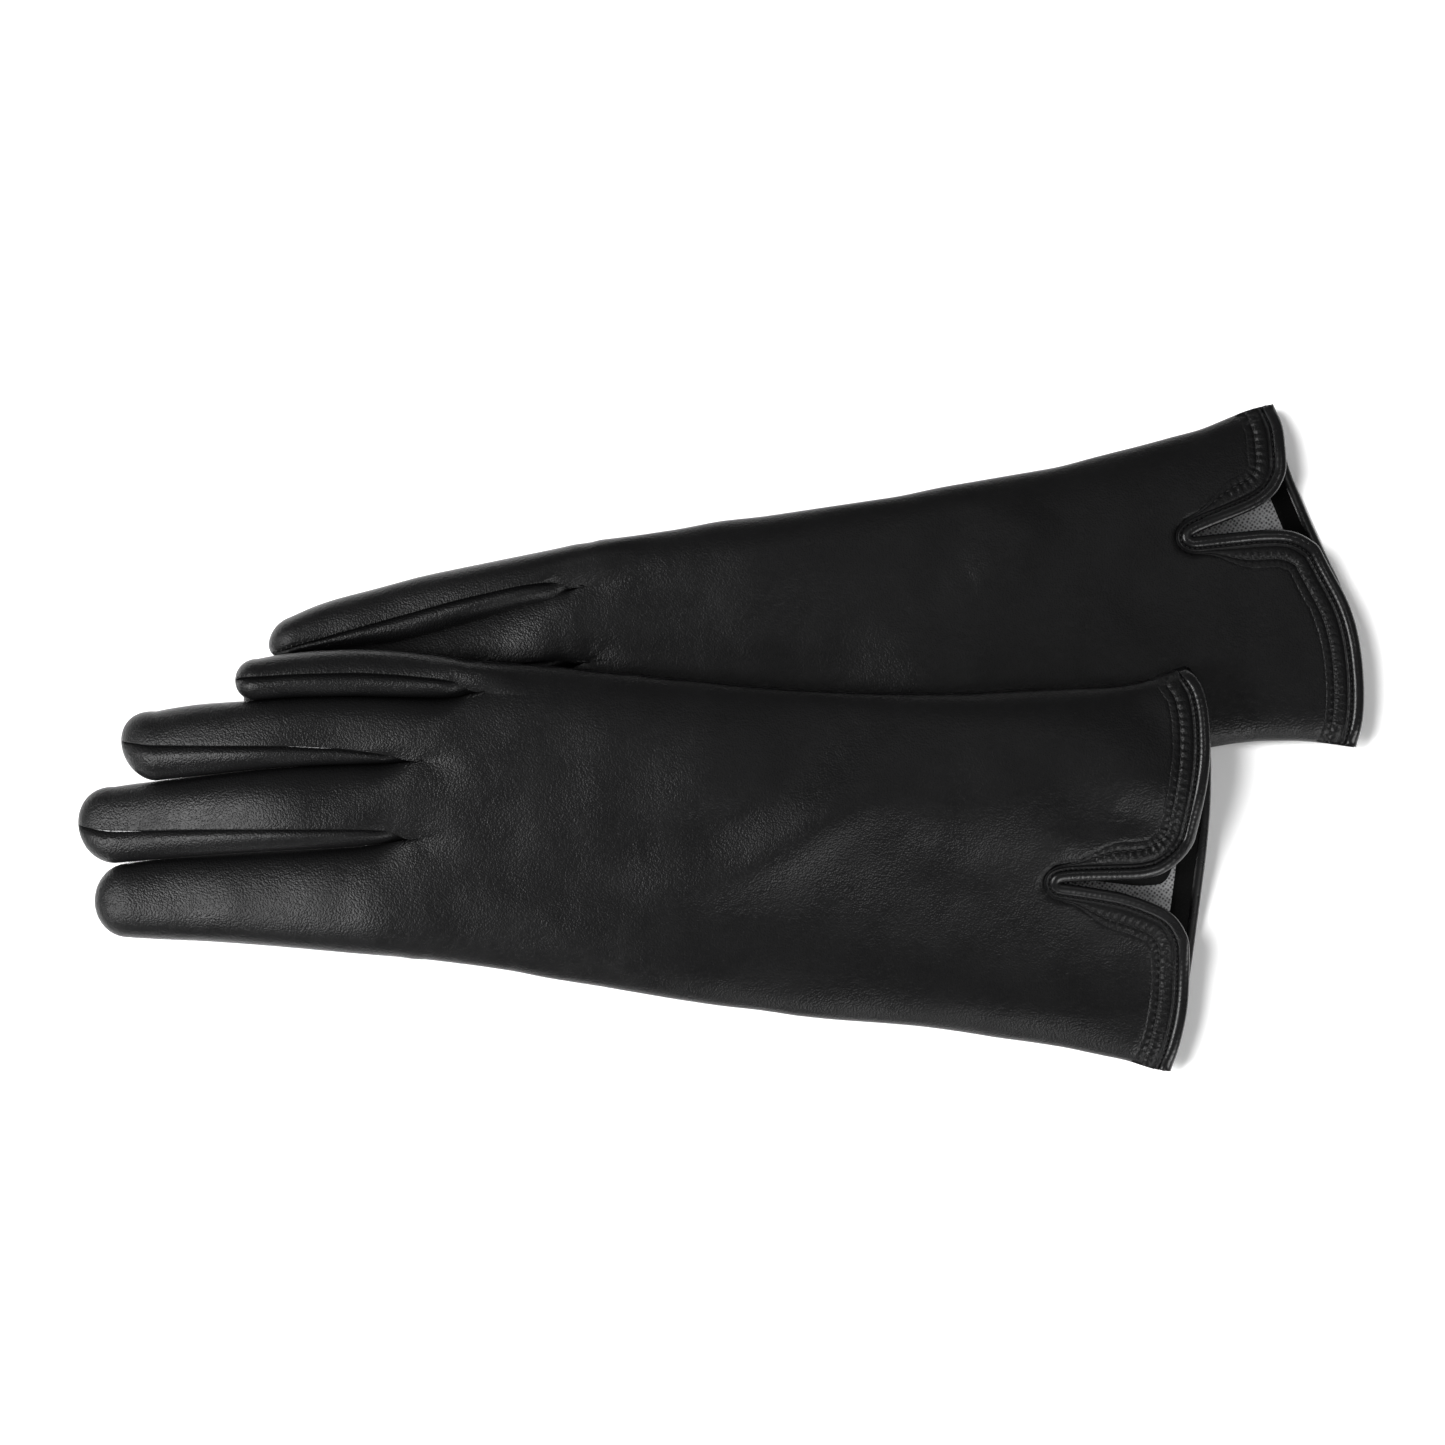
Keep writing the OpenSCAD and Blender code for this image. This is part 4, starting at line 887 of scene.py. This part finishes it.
def stitch_line(pts, up, pitch, length, rad, name, tilt=0.0, rng=None):
    """Stitches evenly along a 3D line."""
    s = np.r_[0, np.cumsum(np.linalg.norm(np.diff(pts, axis=0), axis=1))]
    items = []
    k = 0
    while 0.5 * pitch + k * pitch < s[-1]:
        x = 0.5 * pitch + k * pitch
        c = np.array([np.interp(x, s, pts[:, a]) for a in range(3)])
        c2 = np.array([np.interp(min(x + 0.4, s[-1]), s, pts[:, a]) for a in range(3)])
        c1 = np.array([np.interp(max(x - 0.4, 0), s, pts[:, a]) for a in range(3)])
        t = (c2 - c1); t /= max(np.linalg.norm(t), 1e-9)
        if tilt:
            sd = np.cross(up, t)
            t = t * math.cos(tilt) + sd * math.sin(tilt)
        items.append((c, t, up, length))
        k += 1
    return capsule_rows(items, rad, name)


def thumb_mesh(side, shrink=0.0, name=None):
    """A thumb lying flat: a closed lofted envelope, oval in section, a little narrower at the tip."""
    F = {"right": (-14.0, -50.2, -71.0, -43.5, 18, 17), "left": (24.0, 44.5, -31.0, 38.8, 18, 17)}[side]
    R = np.array(F[:2]); T = np.array(F[2:4]); d = (T - R) / np.linalg.norm(T - R); n = np.array([-d[1], d[0]])
    L = np.linalg.norm(T - R)
    na, nc = 60, 40
    G = np.zeros((na + 1, nc + 1, 3))
    h0 = 8.2 if side == "right" else 5.0
    for i in range(na + 1):
        s = 0.5 - 0.5 * math.cos(math.pi * i / na)
        s = s * (1 - 2 * shrink / L) + shrink / L
        e0 = 1 - max(0.0, (0.16 - s) / 0.16) ** 2.4
        s1 = 1 - 0.5 * F[5] / L
        e1 = 1 - max(0.0, (s - s1) / (1 - s1)) ** 2.2
        tr = math.sqrt(max(0.0, min(e0, e1)))
        w = max((F[4] + (F[5] - F[4]) * s) / 2 * tr - shrink, 0.02)
        h = max(h0 / 2 * tr ** 0.7 - shrink, 0.02)
        if i in (0, na):
            w = h = 0.0
        c = R + (T - R) * s
        for k in range(nc + 1):
            a = 2 * math.pi * k / nc
            ca, sa = math.cos(a), math.sin(a)
            px = math.copysign(abs(ca) ** 0.85, ca) * w; pz = math.copysign(abs(sa) ** 0.85, sa) * h
            wob = 1 + 0.03 * math.sin(s * 19) * sa
            G[i, k] = (c[0] + n[0] * px, c[1] + n[1] * px, h0 / 2 + pz * wob)
    return finish_grid(name or side + "_thumb", G, flip=True)


def body_of(side, fname):
    if side == "left" and fname in ("little", "ring", "middle"):
        return "left_hand"
    return side + "_" + fname


for side in ("left", "right"):
    G = build_glove(side)
    g = G["g"]
    d = np.array(g["d"]); e = np.array(g["e"])
    q, s, n, rows, bind, hem, Z, dq = build_band(G, side)
    # the panel sinks a little under the stitched hem
    full = G["full"]
    dd, ii_ = dist_to(full["P"][:, :2], q)
    dd = np.where(dd > 3.9, 3.9 + (dd - 3.9) / G["squeeze"][ii_.astype(int)], dd)
    lowered = dict(name=full["name"], P=full["P"].copy(), F=full["F"])
    lowered["P"][:, 2] -= 0.9 * (1 - sst(8.2, 9.3, dd))
    orient_up(bind); orient_up(hem)
    panel = join(side + "_back_panel", lowered, hem)
    skin = [clean(p) for p in [panel, G["palm"]] + G["parts"]]
    vertex_normals(skin)
    for p in skin:
        o = make(p, M_LEATHER)
        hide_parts(p["name"])
    # palm edge: its own roll, facing and lining
    GP = G["GP"]
    ptree = BVHTree.FromPolygons(G["palm"]["P"].tolist(), G["palm"]["faces"] if "faces" in G["palm"] else G["palm"]["F"].tolist())
    pq, ps = dense(np.array(g["palm"], float), 0.7, 3.0)
    pt = tangent_frame(pq); pn = np.c_[-pt[:, 1], pt[:, 0]]
    cen = GP[-12, G["cv"], :2]
    if ((cen - pq[len(pq) // 2]) @ pn[len(pq) // 2]) < 0:
        pn = -pn

    def pz(x, y):
        hit = ptree.ray_cast(Vector((x, y, -30)), Vector((0, 0, 1)))
        if hit[0] is not None:
            return hit[0].z
        return ptree.find_nearest(Vector((x, y, 2)))[0].z
    ring = []
    fac = []
    for i in range(len(pq)):
        z1 = pz(*(pq[i] + pn[i] * 1.2)); z2 = pz(*(pq[i] + pn[i] * 4.0)); z3 = pz(*(pq[i] + pn[i] * 7.4))
        row = []
        for k in range(13):
            a = 2 * math.pi * k / 12
            row.append((*(pq[i] + pn[i] * (1.45 + 1.45 * math.cos(a))), z1 + 0.75 + 0.85 * math.sin(a)))
        ring.append(row)
        fac.append([(*(pq[i] + pn[i] * 1.6), z1 + 1.25), (*(pq[i] + pn[i] * 3.0), 0.6 * z1 + 0.4 * z2 + 1.32), (*(pq[i] + pn[i] * 4.2), z2 + 1.35),
                    (*(pq[i] + pn[i] * 6.0), 0.5 * (z2 + z3) + 1.38), (*(pq[i] + pn[i] * 7.1), z3 + 1.38), (*(pq[i] + pn[i] * 7.4), z3 + 0.9)])
    rp = finish_grid("pb", np.array(ring)); fp = finish_grid(side + "_cuff_facing", np.array(fac))
    orient_up(fp)
    ftop = []
    s_ap = np.r_[0, np.cumsum(np.hypot(*np.diff(q, axis=0).T))]
    i_ap_ = int(np.argmin(np.hypot(*(q - G["GA"][G["ra"], -1, :2]).T)))
    side_a = 1 if np.hypot(*(q[0] - G["GA"][-1, 0, :2])) < np.hypot(*(q[-1] - G["GA"][-1, 0, :2])) else -1
    for i in range(30, len(q) - 30):
        u_ = (i_ap_ - i) * side_a
        peek = 1.2 if u_ <= 0 else 1.2 - (side == "right") * min(4.6, 0.15 * abs(s_ap[i] - s_ap[i_ap_])) * float(sst(1.0, 8.0, abs(s_ap[i] - s_ap[i_ap_]))) * (1 - float(sst(24, 31, abs(s_ap[i] - s_ap[i_ap_]))))
        low = 1.0 + 0.75 * (1.2 - peek)
        ftop.append([(*(q[i] + n[i] * peek), np.interp(max(peek, 0.6), dq, Z[i]) - low), (*(q[i] + n[i] * (peek * 0.5 + 1.5)), np.interp(3.0, dq, Z[i]) - 0.5 * low - 0.8)] + [(*(q[i] + n[i] * x), np.interp(x, dq, Z[i]) - y) for x, y in ((3.4, 1.35), (5.0, 1.35), (7.3, 1.35), (7.5, 0.95))])
    ft = orient_up(finish_grid("ft", np.array(ftop))); ft["F"] = ft["F"][:, ::-1].copy()
    face_part = clean(join(side + "_cuff_facing", fp, ft))
    vertex_normals([face_part])
    # the facing uses the darkened leather: painted shade inside the vent
    o = make(face_part, M_FACE_PAINTED_SHADE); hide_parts(side + "_cuff_facing")
    bt = join(side + "_cuff_binding", {"P": bind["P"], "F": bind["F"]}, rp)
    bt = clean(bt); vertex_normals([bt])
    o = make(bt, M_BIND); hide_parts(side + "_cuff_binding")
    # lining of the hand
    st = slice(None, None, 2)
    parts_l = []
    for src, sg in ((GP, -1), (G["GA"], 1), (G["GB"], 1)):
        P = src.copy()
        P[..., 2] += -1.15 * sg
        # draw the sides in
        if sg < 0 or True:
            vv = G["V"] if sg < 0 else (G["V"][:G["cv"] + 1] if src is G["GA"] else G["V"][G["cv"]:])
            zmid = under(g, P[..., 0], vv[None, :]) + HAND_H / 2
            P[..., 2] = zmid + np.where(sg > 0, 1, -1) * np.maximum((P[..., 2] - zmid) * sg, 0.0)
            side_in = np.clip(1 - np.minimum(vv, 1 - vv) / 0.04, 0, 1) * 1.1
            sgn = np.where(vv < 0.5, 1, -1)
            dirv = (np.array(g["E1"].at(0.5)) - np.array(g["E0"].at(0.5))); dirv /= np.linalg.norm(dirv)
            P[..., 0] += (side_in * sgn)[None, :] * dirv[0]; P[..., 1] += (side_in * sgn)[None, :] * dirv[1]
        dist, _ = dist_to(P[..., :2].reshape(-1, 2), pq if sg < 0 else q)
        dist = dist.reshape(P.shape[:2])
        keep = (dist[:-1, :-1] > 6.9) & (np.arange(P.shape[0] - 1)[:, None] > 2)
        parts_l.append(finish_grid("l", P, keep=keep, flip=(g["flip"] if sg < 0 else not g["flip"])))
    lin = clean(join(side + "_hand_lining", *parts_l)); vertex_normals([lin])
    o = make(lin, M_KNIT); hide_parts(side + "_hand_lining")
    # stitches
    st_rows = []
    up = np.array([0, 0, 1.0])
    dcols = [p_[0] for p_ in PROFILE]
    j1 = int(np.argmin(np.abs(np.array(dcols) - 7.3))); j2 = int(np.argmin(np.abs(np.array(dcols[15:]) - 3.05))) + 15
    a_, b_ = 18, len(q) - 18
    l1 = rows[a_:b_, j1].copy(); l1[:, 2] += 0.10
    l2 = rows[a_:b_, j2].copy(); l2[:, 2] += 0.06
    keep1 = G["squeeze"][a_:b_] > 0.45
    h1 = int(np.argmax(~keep1)); h2 = len(keep1) - int(np.argmax(~keep1[::-1]))
    inner = join("s1", stitch_line(l1[:h1], up, 2.0, 1.3, 0.17, "a"), stitch_line(l1[h2:], up, 2.0, 1.3, 0.17, "b"))
    beads = stitch_line(l2, up, 1.3, 0.85, 0.12, "s2")
    ts = clean(join(side + "_cuff_topstitch", inner, beads)); 
    o = make(ts, M_THREAD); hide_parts(side + "_cuff_topstitch")
    # quirks
    qs = []
    for k, K in enumerate(g["knots"][1:-1]):
        K = np.array(K)
        zc = float(under(g, K[0], G["V"][g["cols"][k + 1]])) + HAND_H / 2
        GQ = np.zeros((7, 13, 3))
        for i in range(7):
            for j in range(13):
                a = 2 * math.pi * j / 12; r_ = 1.9 * math.sin(math.pi * i / 6)
                GQ[i, j] = (K[0] - d[0] * 2.2 + e[0] * r_ * math.cos(a) * 0.5 + d[0] * 1.4 * math.sin(a) * r_ / 1.9,
                            K[1] - d[1] * 2.2 + e[1] * r_ * math.cos(a) * 0.5 + d[1] * 1.4 * math.sin(a) * r_ / 1.9, zc + 1.2 + 2.6 * math.cos(math.pi * i / 6))
        qs.append(finish_grid("q", GQ))
        ztop = float(G["GA"][0, g["cols"][k + 1], 2]) if g["cols"][k + 1] <= G["cv"] else float(G["GB"][0, g["cols"][k + 1] - G["cv"], 2])
        ztop = max(ztop, zc)
        items = []
        for j, (aa, bb, tl) in enumerate(((1.2, -0.3, 0.5), (2.7, -0.9, 0.65), (4.2, -1.3, 0.8))):
            sg_ = -1 if side == "left" else 1
            c_ = np.array([*(K + d * (aa - 0.7) + e * bb * sg_ * 0.8), ztop + 0.15 - 0.25 * j])
            t_ = np.array([*(d * math.cos(tl) - e * math.sin(tl) * sg_), 0.0])
            items.append((c_, t_, np.array([0, 0, 1.0]), 2.1))
        qs.append(capsule_rows(items, 0.34, "eye"))
    qq = clean(join(side + "_quirks", *qs)); vertex_normals([qq])
    o = make(qq, M_LEATHER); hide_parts(side + "_quirks")
    # thumb
    tm = clean(thumb_mesh(side)); vertex_normals([tm])
    o = make(tm, M_LEATHER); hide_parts(side + "_thumb")
    tl = clean(thumb_mesh(side, 1.2 if side == "right" else 1.9, side + "_thumb_lining")); vertex_normals([tl])
    o = make(tl, M_KNIT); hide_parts(side + "_thumb_lining")
    for nm in ("_thumb", "_thumb_lining"):
        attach(OBJ[side + nm], side + "_thumb")
    for nm in ("_back_panel", "_palm_panel", "_cuff_facing", "_cuff_binding", "_hand_lining", "_cuff_topstitch", "_quirks"):
        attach(OBJ[side + nm], side + "_hand")
    for f in G["fingers"]:
        lt = clean(finish_grid("%s_%s_lining" % (side, f["name"]), f["tube"])); vertex_normals([lt])
        o = make(lt, M_KNIT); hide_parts(lt["name"])
        names = ["%s_%s_%s" % (side, f["name"], x) for x in ("back", "palm", "lining")]
        names.append("%s_%s_fourchette%s" % (side, f["name"], "s" if f["name"] in ("middle", "ring") else ""))
        if f["seam"] is not None and (side, f["name"]) in (("right", "little"), ("left", "index")):
            se, od, on = f["seam"]
            pts = se.copy(); pts[:, :2] -= od * 0.1; pts[:, 2] += 0.02
            pts = pts[4:-5]
            sl = clean(stitch_line(pts, up, 1.45, 0.95, 0.17, "%s_%s_stitches" % (side, f["name"]), tilt=1.05))
            o = make(sl, M_THREAD)
            names.append(sl["name"])
        body = body_of(side, f["name"])
        for nm in names:
            o = OBJ[nm]
            if body == side + "_hand":
                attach(o, body)
            else:
                mid_y = f["tube"][0, :, 1].mean() / 1000
                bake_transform(o)

# ---------------------------------------------------------------- stage, light, camera
floor_mat, _nt, fb = nodes_of("floor_white")
fb.inputs["Base Color"].default_value = (0.95, 0.95, 0.95, 1)
fb.inputs["Roughness"].default_value = 0.9
fb.inputs["Specular IOR Level"].default_value = 0.1
fb.inputs["Emission Color"].default_value = (1, 1, 1, 1)
fb.inputs["Emission Strength"].default_value = 0.12
me = bpy.data.meshes.new("floor")
me.from_pydata([(-3, -3, -0.0004), (3, -3, -0.0004), (3, 3, -0.0004), (-3, 3, -0.0004)], [], [(0, 1, 2, 3)])
me.materials.append(floor_mat)
floor = bpy.data.objects.new("floor", me)
bpy.context.scene.collection.objects.link(floor)

world = bpy.data.worlds.new("studio")
bpy.context.scene.world = world
world.use_nodes = True
wn, wl = world.node_tree.nodes, world.node_tree.links
bg = wn["Background"]
bg.inputs["Color"].default_value = (1, 1, 1, 1)
bg.inputs["Strength"].default_value = 0.15
pale = wn.new("ShaderNodeBackground"); pale.inputs["Color"].default_value = (1, 1, 1, 1); pale.inputs["Strength"].default_value = 0.97
lp = wn.new("ShaderNodeLightPath"); mx = wn.new("ShaderNodeMixShader")
wl.new(lp.outputs["Is Camera Ray"], mx.inputs["Fac"]); wl.new(bg.outputs["Background"], mx.inputs[1]); wl.new(pale.outputs["Background"], mx.inputs[2])
wl.new(mx.outputs["Shader"], wn["World Output"].inputs["Surface"])


def area(name, loc, target, size, size_y, energy):
    li = bpy.data.lights.new(name, "AREA")
    li.shape = "RECTANGLE"; li.size = size; li.size_y = size_y; li.energy = energy
    o = bpy.data.objects.new(name, li)
    bpy.context.scene.collection.objects.link(o)
    o.location = loc
    o.rotation_euler = (Vector(target) - Vector(loc)).to_track_quat("-Z", "Y").to_euler()
    return o


area("key", (-0.49, -0.12, 0.50), (-0.06, -0.01, 0), 0.34, 0.34, 3.4)
area("back", (0.45, -0.95, 0.62), (0, 0, 0), 0.6, 0.3, 4.0)
area("soft", (0.20, 0.12, 1.05), (0.08, 0, 0), 0.16, 0.12, 0.30)
sun_d = bpy.data.lights.new("floor_sun", "SUN")
sun_d.energy = 3.6
sun_d.angle = math.radians(20)
sun = bpy.data.objects.new("floor_sun", sun_d)
bpy.context.scene.collection.objects.link(sun)
sun.rotation_euler = Vector((0.56, -0.16, -1)).to_track_quat("-Z", "Y").to_euler()
only = bpy.data.collections.new("floor_only")
only.objects.link(floor)
sun.light_linking.receiver_collection = only

cam_d = bpy.data.cameras.new("cam")
cam = bpy.data.objects.new("cam", cam_d)
bpy.context.scene.collection.objects.link(cam)
cam_d.lens = 100
cam_d.sensor_width = 36
cam_d.clip_start = 0.01
dist = 0.36125 * 100 / 36
cam.location = (0.000875, 0.004125, 0.010 + dist)
cam.rotation_euler = (0, 0, 0)
bpy.context.scene.camera = cam
bpy.context.scene.view_settings.view_transform = "Standard"

bpy.context.view_layer.update()
